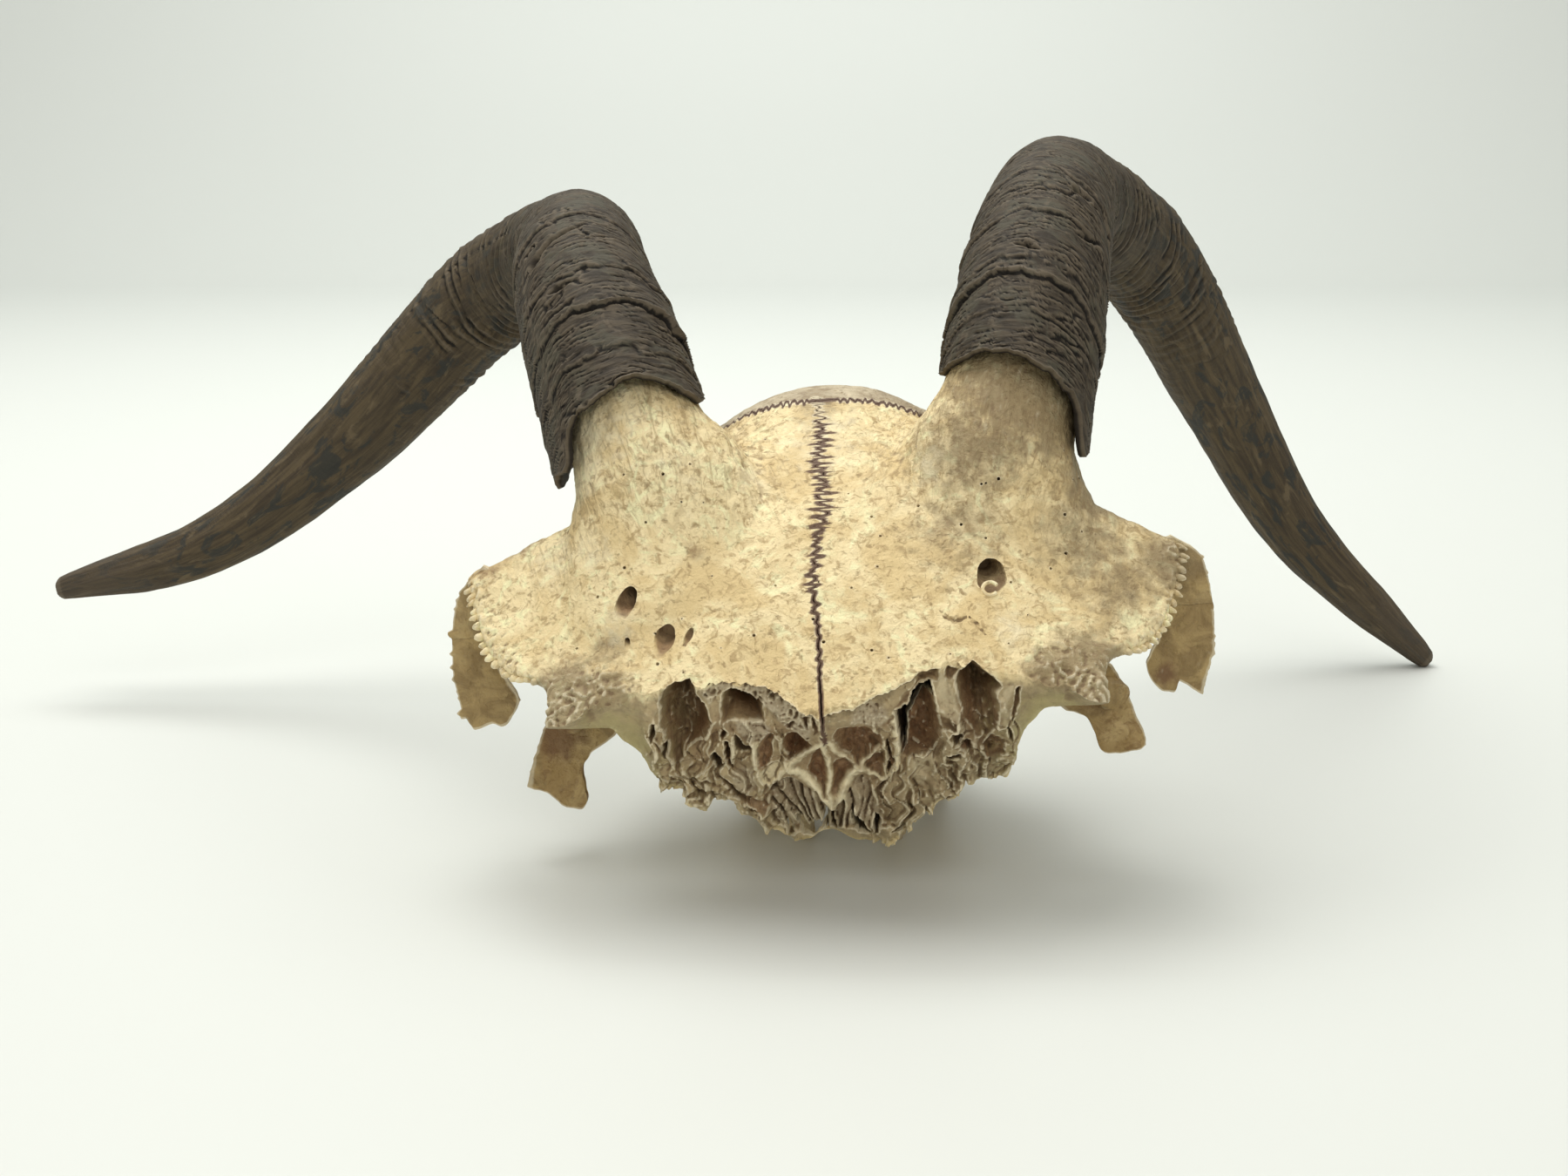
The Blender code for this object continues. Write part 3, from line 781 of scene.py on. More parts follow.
    def build(self) -> Object:
        """The hollow-mouthed sheath, with its own straightened coordinates kept for the finish.

        Returns:
            The sheath.
        """
        whole = self.spine(np.zeros(1))[3]
        ringed, plain = 620, 150
        share = np.concatenate([np.linspace(0, 0.62, ringed, endpoint=False), np.linspace(0.62, 1, plain)])
        angle = np.linspace(0, math.tau, self.sides, endpoint=False)
        rim = np.array([*self.mouth, (self.mouth[0][0] + math.tau, self.mouth[0][1])])
        start = np.interp((angle + math.pi) % math.tau - math.pi, rim[:, 0], rim[:, 1])
        start = start + 0.7 * fractal(self.straightened(np.zeros(self.sides), angle), 2.4, 3, self.seed + 60)
        length = (start[None] + (whole - start[None]) * share[:, None]).ravel()
        turn = np.tile(angle, len(share))
        lift = self.relief(length, turn, whole)
        inner_share = np.linspace(0, 1, 24)
        inner_length = (start[None] + self.socket * inner_share[:, None]).ravel()
        inner_turn = np.tile(angle, len(inner_share))
        inner_lift = -np.repeat(self.wall * (0.55 + 0.9 * np.sqrt(inner_share)), self.sides)
        inner_lift += 0.15 * noise(self.straightened(inner_length, inner_turn), 2.5, 7)
        rings = []
        for lengths, turns, lifts in ((length, turn, lift), (inner_length, inner_turn, inner_lift)):
            place, across, deep, _ = self.spine(lengths)
            table = np.array(self.girth)
            half_width = np.interp(lengths / whole, table[:, 0], table[:, 1]) + lifts
            half_depth = np.interp(lengths / whole, table[:, 0], table[:, 2]) + lifts
            beside_line = across * (half_width * np.cos(turns))[:, None]
            points = place + beside_line + deep * (half_depth * np.sin(turns))[:, None]
            rings.append(points.reshape(-1, self.sides, 3))
        obj = tube(self.name, np.vstack([rings[0][::-1], rings[1]]))
        mesh = obj.data
        lengths = np.concatenate([length.reshape(-1, self.sides)[::-1].ravel(), inner_length])
        turns = np.concatenate([np.tile(angle, len(share)), inner_turn])
        lifts = np.concatenate([lift.reshape(-1, self.sides)[::-1].ravel(), np.full(len(inner_length), -2.0)])
        store(mesh, "straight", self.straightened(lengths, turns))
        store(mesh, "along", lengths / whole)
        store(mesh, "lift", lifts)
        store(mesh, "hollow", hollowness(mesh, 1))
        return obj


RIGHT_HORN = Horn(
    "horn_right",
    -1,
    line=(
        (-35, 26, 81), (-41, 41, 96), (-47, 61, 108), (-52, 90, 113), (-67, 118, 108), (-84, 130, 98),
        (-116, 136, 70), (-151, 135, 47), (-190, 133, 38),
    ),
    girth=(
        (0.00, 16.0, 19.0), (0.15, 14.0, 15.9), (0.27, 12.8, 13.4), (0.37, 11.2, 11.9), (0.50, 10.9, 12.6),
        (0.65, 9.4, 10.8), (0.80, 6.8, 8.0), (0.92, 4.8, 5.7), (0.985, 2.8, 3.3), (0.996, 2.2, 2.7),
        (1.00, 1.3, 1.6),
    ),
    mouth=(
        (-3.1416, 7.0), (-2.9, 5.0), (-2.75, 3.2), (-2.6, 2.0), (-2.52, 2.4), (-2.45, 5.5), (-2.36, 8.4),
        (-2.1, 10.0), (-1.9, 9.6), (-1.75, 10.3), (-1.6, 11.4), (-1.5, 12.6), (-1.3, 12.8), (-1.1, 11.6),
        (-0.91, 10.8), (-0.6, 9.9), (-0.36, 11.2), (-0.2, 14.5), (0, 17.5), (0.3, 20.8), (0.6, 22.8),
        (1.57, 22.5), (2.3, 20.0), (2.6, 15.5), (2.9, 9.0),
    ),
    ledges=((20.3, 0.35), (30.3, 1.2), (40, 0.4), (58, 0.4)),
    slits=(
        (51, -1.87, 9.5, 0.6, 2.2, 0.34),
        (49.3, -2.2, 2.2, 0.9, 2.0, 0.2),
        (37.4, -1.92, 2.6, 0.5, 1.6, 0.1),
    ),
    seed=11,
)
LEFT_HORN = Horn(
    "horn_left",
    1,
    line=(
        (35, 30, 82), (39, 44, 97), (44, 67, 111), (50, 99, 117), (63, 130, 109), (76, 151, 95),
        (93, 172, 63), (112, 179, 28), (145, 181, -8),
    ),
    girth=(
        (0.00, 14.8, 18.5), (0.15, 13.8, 16.8), (0.27, 12.8, 14.2), (0.37, 11.2, 12.4), (0.50, 10.8, 12.9),
        (0.65, 10.2, 11.4), (0.80, 8.0, 8.6), (0.92, 5.4, 6.0), (0.985, 3.0, 3.4), (0.996, 2.3, 2.7),
        (1.00, 1.3, 1.6),
    ),
    mouth=(
        (-3.1416, 18.6), (-2.98, 16.6), (-2.71, 15.0), (-2.36, 13.8), (-2.08, 14.0), (-1.87, 13.6),
        (-1.66, 12.8), (-1.43, 11.6), (-1.29, 10.8), (-1.12, 10.8), (-0.89, 9.2), (-0.64, 9.0), (-0.5, 6.6),
        (-0.4, 3.4), (-0.3, 1.2), (-0.2, 1.4), (-0.05, 4.0), (0.15, 8.0), (0.4, 13.0), (0.7, 17.0),
        (1.2, 20.0), (1.57, 21.0), (2.2, 23.0), (2.8, 23.4), (2.98, 21.0),
    ),
    ledges=((22.3, 0.3), (29.3, 1.2), (32.2, 0.4), (44.5, 0.5), (58, 0.3)),
    slits=(
        (54.4, -1.02, 2.6, 0.8, 2.0, 0.15),
        (52.8, -0.3, 4.4, 0.8, 2.2, -0.95),
        (43.4, -0.8, 3.4, 0.6, 1.8, 0.5),
        (34.2, -1.63, 2.6, 0.5, 1.6, -0.33),
        (57.5, -1.25, 5.0, 0.4, 0.9, -0.6),
    ),
    seed=77,
)


def floor_height(y: Array) -> Array:
    """Height of the seam between the roof bones and the bones of the base."""
    return 31.3 + 0.283 * y


def coronal_depth(x: Array) -> Array:
    """Y of the seam between the forehead and the dome behind it."""
    return 35.0 + 0.316 * np.sqrt(np.square(x) + 9) - 0.6


def nape_depth(z: Array) -> Array:
    """Y of the seam before the occipital."""
    return 73 + 0.305 * (z - 62)


def front_of(z: Array) -> Array:
    """Y of the broken nose's front at a height: upright under the forehead's edge, slanting back below."""
    return BREAK_TOP[0] + 0.675 * np.maximum(0, BREAK_TOP[1] - z)


def within(x: Array, z: Array, outline: tuple, reach: float = 2.0) -> Array:
    """How far places lie inside an outline.

    Args:
        x: places across.
        z: their heights.
        outline: the outline's corners.
        reach: the furthest that is told apart outside.

    Returns:
        The distance inside at each place, below 0 outside.
    """
    corners = np.array(outline, float)
    low, high = corners.min(axis=0) - reach, corners.max(axis=0) + reach
    near = (x > low[0]) & (x < high[0]) & (z > low[1]) & (z < high[1])
    u, v = x[near], z[near]
    nearest = np.full(u.shape, 99.0)
    hit = np.zeros(u.shape, bool)
    for (a, b), (c, d) in zip(corners, np.roll(corners, -1, axis=0)):
        along = np.clip(((u - a) * (c - a) + (v - b) * (d - b)) / ((c - a) ** 2 + (d - b) ** 2), 0, 1)
        gap = np.hypot(u - a - along * (c - a), v - b - along * (d - b))
        nearest = np.minimum(nearest, gap)
        if b != d:
            hit ^= ((b > v) != (d > v)) & (u < a + (c - a) * (v - b) / (d - b))
    found = np.full(x.shape, -reach)
    found[near] = np.where(hit, nearest, -np.minimum(nearest, reach))
    return found


def shards(points: Array, scale: float, seed: int) -> Array:
    """Steps of a face broken into flat splinters, each with a level and a tilt of its own.

    Args:
        points: rows of x, y, z; the splinters lie in X and Y.
        scale: size of one splinter.
        seed: picks the pattern.

    Returns:
        A height a row, from about -1.5 to 1.5.
    """
    spread = points / scale
    cell = np.floor(spread).astype(np.int64)
    nearest = np.full(len(points), 9.0)
    level = np.zeros(len(points))
    for corner in np.ndindex(3, 3):
        other = cell + np.array([corner[0] - 1, corner[1] - 1, 0])
        draw, tilt = scattered(other, seed), scattered(other, seed + 1)
        offset = (spread - other - 0.5 - 0.42 * draw)[:, :2]
        gap = np.hypot(offset[:, 0], offset[:, 1])
        level = np.where(gap < nearest, draw[:, 2] + 1.1 * (offset * tilt[:, :2]).sum(axis=1), level)
        nearest = np.minimum(nearest, gap)
    return level


def beside(x: Array, z: Array, line: tuple) -> Array:
    """Distance of places from a broken line.

    Args:
        x: places across.
        z: their heights.
        line: the line's points.

    Returns:
        The distance of each place.
    """
    nearest = np.full(x.shape, np.inf)
    for (a, b), (c, d) in zip(line, line[1:]):
        along = np.clip(((x - a) * (c - a) + (z - b) * (d - b)) / ((c - a) ** 2 + (d - b) ** 2), 0, 1)
        nearest = np.minimum(nearest, np.hypot(x - a - along * (c - a), z - b - along * (d - b)))
    return nearest


@dataclass(frozen=True)
class Dent:
    """A bowl in the broken front, or a boss if its depth is below 0; past its reach it gets no deeper."""

    depth: float
    reach: float
    outline: tuple
    tone: Tone | None = Tone.UMBER
    strength: float = 1.0

    def recess(self, x: Array, z: Array) -> Array:
        """The depth: steep at the rim, level past the reach, and greater towards the top.

        Args:
            x: places across.
            z: their heights.

        Returns:
            The depths.
        """
        share = np.clip(within(x, z, self.outline, self.reach) / self.reach, 0, 1)
        heights = [corner[1] for corner in self.outline]
        upward = np.clip((z - min(heights)) / (max(heights) - min(heights)), 0, 1)
        return self.depth * (1 - (1 - share) ** 2) * (0.4 + 0.7 * upward)


@dataclass(frozen=True)
class Crest:
    """A thin raised edge on the broken front, with its half width."""

    line: tuple
    height: float
    width: float


@dataclass(frozen=True)
class Sponge:
    """A field of small cells in the broken front, with their size and depth."""

    size: float
    depth: float
    seed: int
    outline: tuple


@dataclass
class NasalBreak:
    """The broken nose, seen as a relief of sinuses, cells, crests, spongy bone and thin sheets.

    Outlines and lines are given across and in height. The break stays behind the margin's Y at each X, and
    the brow is the height of the forehead's torn edge there. The fans outline the thin upright sheets.
    """

    margin: tuple = (
        (-50, -19), (-38, -17), (-31.7, -12.8), (-25.8, -11.9), (-20.3, -13.3), (-17.4, -13.1),
        (-13, -14.1), (-10, -15.2), (-7.9, -16.4), (-5, -17.3), (-1.7, -18.4), (0, -18), (4.3, -17.5),
        (7.4, -16.4), (11.8, -15.4), (15.7, -13.7), (19.3, -12.7), (23.7, -11.9), (28.1, -12.8), (34, -15),
        (38, -17), (50, -19),
    )
    brow: tuple = (
        (-50, 44), (-31.7, 45.2), (-28.6, 45.4), (-24.8, 45.5), (-22.1, 43.5), (-19.7, 44.9), (-15.2, 45.1),
        (-10.2, 44), (-6.6, 42.2), (-3.8, 39.9), (-1.7, 38.8), (-0.5, 39.5), (4.3, 40.2), (7.4, 41.6),
        (11.8, 42.9), (15.6, 44.9), (19.3, 45.5), (24.5, 46), (28.1, 45), (50, 44),
    )
    dents: tuple = (
        # The four sinuses under the forehead, the third with a space behind it that is painted black as
        # shade.
        Dent(14.0, 4.0, (
            (-27, 44.4), (-22.9, 45.3), (-22.1, 42.5), (-20.6, 39.7), (-19.8, 36.9), (-21.7, 33.8),
            (-24.1, 32.6), (-25.2, 31.1), (-25.6, 29.5), (-27.2, 28.8), (-28.2, 30.5), (-28.1, 33.6),
            (-28.8, 37), (-28.7, 41.4),
        ), None),
        Dent(11.0, 2.8, (
            (-17.8, 42.6), (-15.3, 43.4), (-13.1, 42.1), (-10.9, 40.7), (-10.6, 36.8), (-13.5, 37.6),
            (-16, 38.2), (-18.2, 36.8), (-18.3, 39.6),
        ), None),
        Dent(11.0, 3.0, (
            (11.1, 38.3), (13.6, 39.1), (14, 40.9), (15.5, 42.4), (17, 42.8), (18.1, 40.1), (18.9, 34.1),
            (18.1, 30.3), (16.9, 29.1), (12, 28.2), (11.5, 31.7),
        ), Tone.UMBER, 0.6),
        Dent(21.0, 1.7, (
            (11.1, 38.3), (13.6, 39.1), (14, 40.9), (15.5, 42.4), (17, 42.8), (18.1, 40.1), (16, 39.1),
            (14.7, 37.6), (13.8, 34.4), (13.1, 30.6), (11.8, 28.6), (11.4, 32),
        ), Tone.PAINTED_SHADE),
        Dent(14.0, 4.0, (
            (22.3, 44.3), (24.9, 45.9), (25.7, 44.9), (28, 43), (29.7, 41.4), (28.7, 39.6), (28.8, 34.9),
            (27.1, 31.6), (24.7, 31.5), (22.6, 36.7), (21.7, 42.2),
        ), Tone.UMBER, 0.35),
        # The underside of the forehead's edge over the space painted black.
        Dent(2.6, 1.8, (
            (11.1, 38.6), (12.7, 41), (14.5, 42.1), (15.2, 44.5), (17.6, 45.1), (19.3, 44.9), (18.6, 42.8),
            (15.5, 42.5), (13.6, 39.1),
        ), Tone.UMBER, 0.4),
        Dent(2.4, 0.8, (
            (19.9, 44.6), (20.5, 45.2), (22.2, 44.5), (21.6, 43), (20.9, 42.4), (20.1, 43.4),
        ), Tone.UMBER, 0.6),
        # The two rounded cells beside the middle ridge and the smaller ones round them.
        Dent(6.5, 2.0, (
            (-8.2, 33), (-7.4, 34.5), (-5.7, 35), (-4.9, 34.2), (-3.3, 31.6), (-4.4, 30.3), (-6.2, 29.4),
            (-7.7, 28.7), (-8.1, 30.5),
        ), Tone.UMBER, 0.9),
        Dent(6.0, 3.0, (
            (1.4, 35.5), (3.4, 36.1), (6.8, 35.2), (8.7, 33.4), (9.1, 29.9), (7.3, 29.4), (5.4, 28.2),
            (4.7, 26.8), (2.9, 29.1), (1.4, 30.3), (0.5, 32.3), (0.5, 34.2),
        ), Tone.UMBER, 0.55),
        Dent(4.0, 0.7, (
            (9.6, 32.6), (10.2, 29.4), (10.8, 27.1), (9.8, 25.1), (9, 24), (9.5, 27.9), (9.2, 31.4),
        )),
        Dent(2.6, 1.2, (
            (5.5, 27.8), (7.4, 29.2), (8.8, 28.7), (8.7, 25.6), (8.2, 23.8), (6.7, 24.9), (5.4, 26),
        ), Tone.UMBER, 0.6),
        Dent(3.0, 1.6, (
            (-12.9, 31.9), (-11.7, 33.8), (-10.3, 35.4), (-9.3, 35), (-9.8, 31.7), (-10.4, 28.7),
            (-12.1, 27.2), (-13, 28),
        ), Tone.UMBER, 0.9),
        Dent(2.6, 0.6, ((-6.6, 37.3), (-5.6, 37.6), (-5.6, 36.7), (-6.7, 35.4), (-7.1, 35.8))),
        Dent(2.4, 0.6, ((-4.3, 38.4), (-3.3, 38.5), (-3.2, 37.1), (-3.7, 35.6), (-4, 37.1))),
        Dent(2.2, 0.5, ((-2.6, 38.6), (-1.9, 38), (-2, 34.8), (-2.8, 34))),
        # The two fields of the kite-shaped plate.
        Dent(2.8, 1.3, (
            (-1.9, 31.3), (-3.5, 29.4), (-4.5, 26.8), (-4.5, 25.6), (-3.2, 24.1), (-2.6, 22.1), (-1.9, 20),
            (-1.5, 21.6), (-1.5, 29.7),
        )),
        Dent(2.6, 1.2, (
            (-0.2, 27), (0.6, 28), (2.1, 28.7), (4.1, 27), (3.1, 25.1), (1.5, 23.8), (0.6, 21.9),
            (-0.2, 19.5), (-0.5, 21.5),
        ), Tone.UMBER, 0.85),
        Dent(-0.5, 1.0, (
            (-9.9, 28.6), (-7.7, 28.3), (-4.5, 29.9), (-8.7, 26), (-11.4, 23.2), (-13, 25.3), (-13.1, 27.2),
            (-11.6, 27.2),
        ), Tone.CREAM, 0.8),
        # Under the second sinus: a lumpy boss, slits, pits (several painted dark as shade) and torn plates,
        # and the shelf under the first.
        Dent(-1.6, 1.8, (
            (-16, 38.1), (-13.5, 37.6), (-11.7, 38.2), (-9.9, 36.3), (-10.3, 33.9), (-12.3, 32.5),
            (-14, 32.8), (-16, 35.2),
        ), Tone.ASH, 0.8),
        Dent(4.0, 0.8, (
            (-30.2, 37.5), (-29.4, 37.8), (-29.8, 35), (-30.7, 33.7), (-31.4, 34.5),
        ), Tone.PAINTED_SHADE, 0.7),
        Dent(4.0, 0.8, (
            (-28.8, 34), (-28, 33.9), (-28.2, 31.6), (-28.8, 30.1), (-29.4, 30.9),
        ), Tone.PAINTED_SHADE, 0.8),
        Dent(4.0, 0.7, (
            (-18.1, 33.2), (-17.3, 33.3), (-17.4, 30.2), (-17.2, 27.1), (-18.2, 28.3), (-18.4, 30.7),
        )),
        Dent(4.5, 1.0, (
            (-16.5, 34.8), (-15.4, 33.6), (-14.4, 32), (-13.4, 31.9), (-13.6, 30.8), (-15.4, 30.9),
            (-16.5, 31.7),
        ), Tone.PAINTED_SHADE, 0.7),
        Dent(3.5, 0.7, ((-18.4, 36.3), (-17.5, 35.3), (-18.6, 33.4), (-19.2, 34.4))),
        Dent(4.5, 0.9, (
            (-21.1, 30.4), (-19.9, 31.2), (-19.2, 29.9), (-19, 28), (-20, 27.2), (-20.7, 28.9),
        ), Tone.PAINTED_SHADE, 0.8),
        Dent(1.6, 1.0, (
            (-25.2, 31.1), (-24.1, 32.6), (-21.7, 33.8), (-19.4, 36), (-18.8, 33), (-20.2, 31.2),
            (-23.5, 29), (-26.7, 28), (-27.2, 28.8),
        ), None),
        Dent(3.2, 1.2, (
            (-20.5, 26.9), (-18, 24.3), (-16.7, 22.1), (-14.1, 21.1), (-11.7, 18.7), (-12.6, 17.1),
            (-15.3, 18.3), (-17.6, 21.1),
        ), Tone.UMBER, 0.6),
        Dent(-0.9, 0.9, (
            (-18, 27.1), (-13.7, 27.7), (-13.2, 23.3), (-14, 21.7), (-15.9, 21.8), (-17.2, 23.1),
        ), Tone.ASH, 0.6),
        # Right of the space painted black: the smooth column, ribs, slits and pits, some of them painted dark
        # as shade, and the plates hanging below it.
        Dent(-0.6, 1.2, (
            (19, 44.3), (19.8, 43.8), (21.3, 41.5), (21.5, 39.2), (24.1, 31.3), (22.9, 31.8), (21.2, 35.3),
            (19.2, 35.8), (18.2, 40.9),
        ), Tone.CREAM, 0.35),
        Dent(-0.9, 0.7, (
            (29, 39.6), (30.3, 41.4), (32, 41.9), (31.1, 39.5), (30.1, 37.2), (30.4, 34.4), (29.8, 32.9),
            (28.9, 36),
        ), Tone.CREAM, 0.35),
        Dent(3.0, 0.6, ((30.1, 34), (31, 32.5), (31.2, 29.6), (30.3, 30.6)), Tone.PAINTED_SHADE, 0.8),
        Dent(3.0, 0.6, ((32, 40.7), (32.6, 41), (32.1, 37.1), (31, 34.4), (30.6, 36.3))),
        Dent(3.6, 0.6, ((20.6, 33.1), (22.1, 33), (22.6, 32), (21.4, 30.7), (20.8, 31.1)), Tone.PAINTED_SHADE, 0.8),
        Dent(3.0, 0.8, ((21.7, 30.7), (22.9, 31.4), (24, 31), (23.5, 29.1), (22, 29.5))),
        Dent(3.0, 0.5, ((19.6, 28.9), (21.7, 28.8), (22.2, 28), (20.1, 27.7)), Tone.PAINTED_SHADE, 0.8),
        Dent(3.6, 1.3, ((25.9, 29.9), (27.7, 32.1), (29.4, 30.7), (29.7, 28.3), (27.6, 27.3), (26.1, 27.8))),
        Dent(-1.0, 1.0, (
            (13.8, 28.1), (17.5, 28.6), (18.3, 27), (16.4, 24.4), (15.7, 21.2), (13.9, 21.7), (13.4, 24.7),
        ), Tone.CREAM, 0.3),
        # Gaps between the thin sheets low in the cavity, most painted black as shade.
        Dent(9.0, 0.6, (
            (-7.8, 15.4), (-7, 14.5), (-6, 11.9), (-3.2, 13.2), (-2.1, 16.7), (-1.5, 16.5), (-2.3, 12.8),
            (-4.5, 10.8), (-7.3, 10.9),
        ), Tone.PAINTED_SHADE),
        Dent(9.0, 0.6, (
            (2.4, 17.3), (3, 14.6), (4.8, 11.5), (5.7, 10.6), (3.4, 10.8), (2.4, 13.1),
        ), Tone.PAINTED_SHADE),
        Dent(7.0, 0.5, ((6.6, 14.8), (7.6, 13.3), (6.7, 11), (6, 10.8)), Tone.PAINTED_SHADE),
        Dent(4.0, 0.5, ((9, 10.9), (10.3, 12.3), (12.1, 12.8), (11.9, 12.2), (10.3, 11.2)), Tone.PAINTED_SHADE, 0.7),
        Dent(5.0, 0.5, ((-9.8, 13.2), (-9.1, 13.8), (-8.1, 11.4), (-9, 10.8)), Tone.PAINTED_SHADE, 0.8),
        Dent(5.0, 0.5, ((-1.2, 16.5), (-0.4, 16), (-0.7, 14), (-0.5, 11.2), (-1.7, 12.3))),
    )
    crests: tuple = (
        Crest(((-0.9, 39.5), (-1.2, 36.2), (-1.5, 32)), 0.5, 0.5),
        Crest(((-1.5, 32), (-0.9, 28.9), (-0.9, 24.6), (-1.1, 20.6), (-1, 17.3)), 0.8, 0.42),
        Crest(((-2.1, 31.7), (-4.1, 30.1), (-6.7, 28.1), (-9, 25.6), (-11.4, 23)), 0.8, 0.5),
        Crest(((-11.4, 23), (-12.9, 25.2), (-13.3, 28.2), (-13.1, 32.7)), 0.7, 0.4),
        Crest(((-0.6, 32.4), (1, 29.6), (2.8, 27.5), (4.8, 26)), 0.8, 0.45),
        Crest(((4.8, 26), (6.3, 28.5), (8.3, 30.3)), 0.5, 0.3),
        Crest(
            (
                (-7.5, 26.1), (-6.5, 26.1), (-4.9, 24.2), (-3.4, 22.3), (-2.5, 19.8), (-1.7, 18.3),
                (-1.2, 17.3),
            ),
            1.1, 0.75,
        ),
        Crest(((4.8, 26), (3.1, 24.7), (1.7, 22.4), (0.7, 19.6), (-0.5, 17.3)), 1.1, 0.75),
        Crest(
            ((4.8, 26), (6.4, 24.5), (8.3, 23.2), (9.7, 24.4), (11, 25.9), (11.2, 30), (10.9, 36)),
            0.7, 0.4,
        ),
        Crest(((9.1, 24), (9.4, 27.9), (9.1, 31.4)), 0.6, 0.3),
    )
    sponges: tuple = (
        Sponge(1.45, 1.6, 1, (
            (-31, 46), (-22.5, 47.4), (-14.5, 45.5), (-7.9, 43.6), (-2.3, 38.8), (-3.3, 32.5), (-7, 35.4),
            (-10.6, 39.8), (-17.8, 42.7), (-20.3, 40), (-22, 43.5), (-30.9, 43.2),
        )),
        Sponge(1.3, 1.3, 2, ((3, 36.8), (4.6, 39.6), (7, 41), (9.8, 39.6), (10.6, 37), (9, 34.8))),
        Sponge(2.9, 2.2, 3, (
            (-32, 32), (-28, 28), (-25.3, 27.8), (-21.8, 28.4), (-20, 26), (-16, 20), (-12, 17), (-14, 14),
            (-20, 20), (-27, 19), (-36, 27),
        )),
        Sponge(1.7, 0.7, 4, (
            (-16, 38.1), (-11.7, 38.2), (-9.9, 36.3), (-10.3, 33.9), (-12.3, 32.5), (-16, 35.2),
        )),
        Sponge(2.2, 2.1, 5, ((19, 34), (24.4, 31), (29, 31.6), (30.4, 28), (24, 26.6), (19, 27.4))),
        Sponge(3.1, 3.0, 6, (
            (18.5, 27.4), (26.9, 26.9), (32, 30), (34, 26), (29.1, 21), (22, 18), (17, 19), (17.9, 23.5),
        )),
    )
    fans: tuple = (
        (
            (-11.1, 23.1), (-8.8, 24.4), (-7, 24.3), (-5.2, 22.2), (-3.3, 21.5), (-2.3, 19), (-1.3, 16),
            (-2, 11.6), (-8, 11.6), (-12, 14), (-12, 20.2),
        ),
        (
            (-0.4, 17.2), (1.2, 20), (3.3, 23.3), (5.2, 24.6), (6.2, 21.6), (7, 19.1), (8, 15), (7, 11.6),
            (-0.4, 11.6),
        ),
    )

    @staticmethod
    def warped(x: Array, z: Array) -> tuple:
        """Shifts places a little, so that whatever is outlined on them comes out ragged.

        Args:
            x: places across.
            z: their heights.

        Returns:
            Both, shifted.
        """
        flat = np.stack([x.ravel(), z.ravel(), np.zeros(x.size)], axis=1)
        shift = [0.42 * noise(flat, 2.6, k) + 0.16 * noise(flat, 0.9, k + 2) for k in (31, 35)]
        return x + shift[0].reshape(x.shape), z + shift[1].reshape(x.shape)

    @staticmethod
    def pleats(x: Array, z: Array) -> Array:
        """Depth of the thin sheets that fan out upwards, each broken off at a depth of its own.

        Args:
            x: places across.
            z: their heights.

        Returns:
            The depths.
        """
        turn = (np.arctan2(x - SEPTUM_X, z + 8) / 0.062).ravel()
        turn = turn + 1.0 * noise(np.stack([turn, z.ravel() / 4, turn * 0], axis=1), 2.5, 41)
        sheet = np.floor(turn)
        phase = turn - sheet
        own = scattered(np.stack([sheet, sheet * 0, sheet * 0], axis=1).astype(np.int64), 5)
        ragged = 1.3 * noise(np.stack([sheet * 9.7, z.ravel(), sheet * 0], axis=1), 2.8, 42)
        body = rise(0.0, 0.3, phase) * rise(1.0, 0.55, phase)
        gap = (0.9 + 0.7 * own[:, 1]) * (1 - body)
        return (1.4 + 1.2 * own[:, 0] + ragged + gap + 1.2 * (phase - 0.5) * own[:, 2]).reshape(x.shape)

    def recess(self, x: Array, z: Array) -> Array:
        """How far the broken surface lies behind the plain front.

        Args:
            x: places across.
            z: their heights.

        Returns:
            The depths.
        """
        u, v = self.warped(x, z)
        flat = np.stack([x.ravel(), z.ravel(), np.zeros(x.size)], axis=1)
        depth = 0.5 * fractal(flat, 5.5, 2, 3).reshape(x.shape) * (0.5 + 1.3 * rise(36, 26, z))
        depth += 0.22 * fractal(flat, 1.6, 3, 9).reshape(x.shape)
        bent = flat + 1.6 * np.stack([noise(flat, 3.6, 72), noise(flat, 3.6, 73), flat[:, 0] * 0], axis=1)
        bent = bent * (1, 0.5, 1)
        low = (rise(5, 10, np.abs(x + 1)) * rise(39, 33, z)).ravel()
        plates = (0.2 + 0.85 * low) * shards(bent, 4.6, 74) + (0.12 + 0.35 * low) * shards(bent, 2.1, 76)
        depth += plates.reshape(x.shape) * rise(0, 2.5, 2 + np.abs(x + 1) - 6 * rise(34, 28, z))
        folds = creases(flat * (1, 0.7, 1), 6.5, 3, 47).reshape(x.shape)
        depth -= 0.8 * np.maximum(0, folds - 0.7) * rise(7, 12, np.abs(x + 1)) * rise(42, 38, z)
        ribs = rise(0.55, 1.05, creases(bent * (1, 0.7, 1), 4.4, 2, 79)) * low
        depth += (0.35 - 1.5 * ribs).reshape(x.shape)
        for sponge in self.sponges:
            share = rise(-0.3, 0.8, within(u, v, sponge.outline))
            deep = share > 0
            spots = np.stack([u[deep], v[deep], u[deep] * 0], axis=1)
            spots = spots + 0.35 * sponge.size * jitter(spots, sponge.size, 51)
            pits = rise(0.02, 0.6, honeycomb(spots, sponge.size, sponge.seed))
            pits *= rise(-0.5, 0.5, noise(spots, 3.1, 54))
            small = rise(0.05, 0.6, honeycomb(spots, 0.45 * sponge.size, sponge.seed + 1))
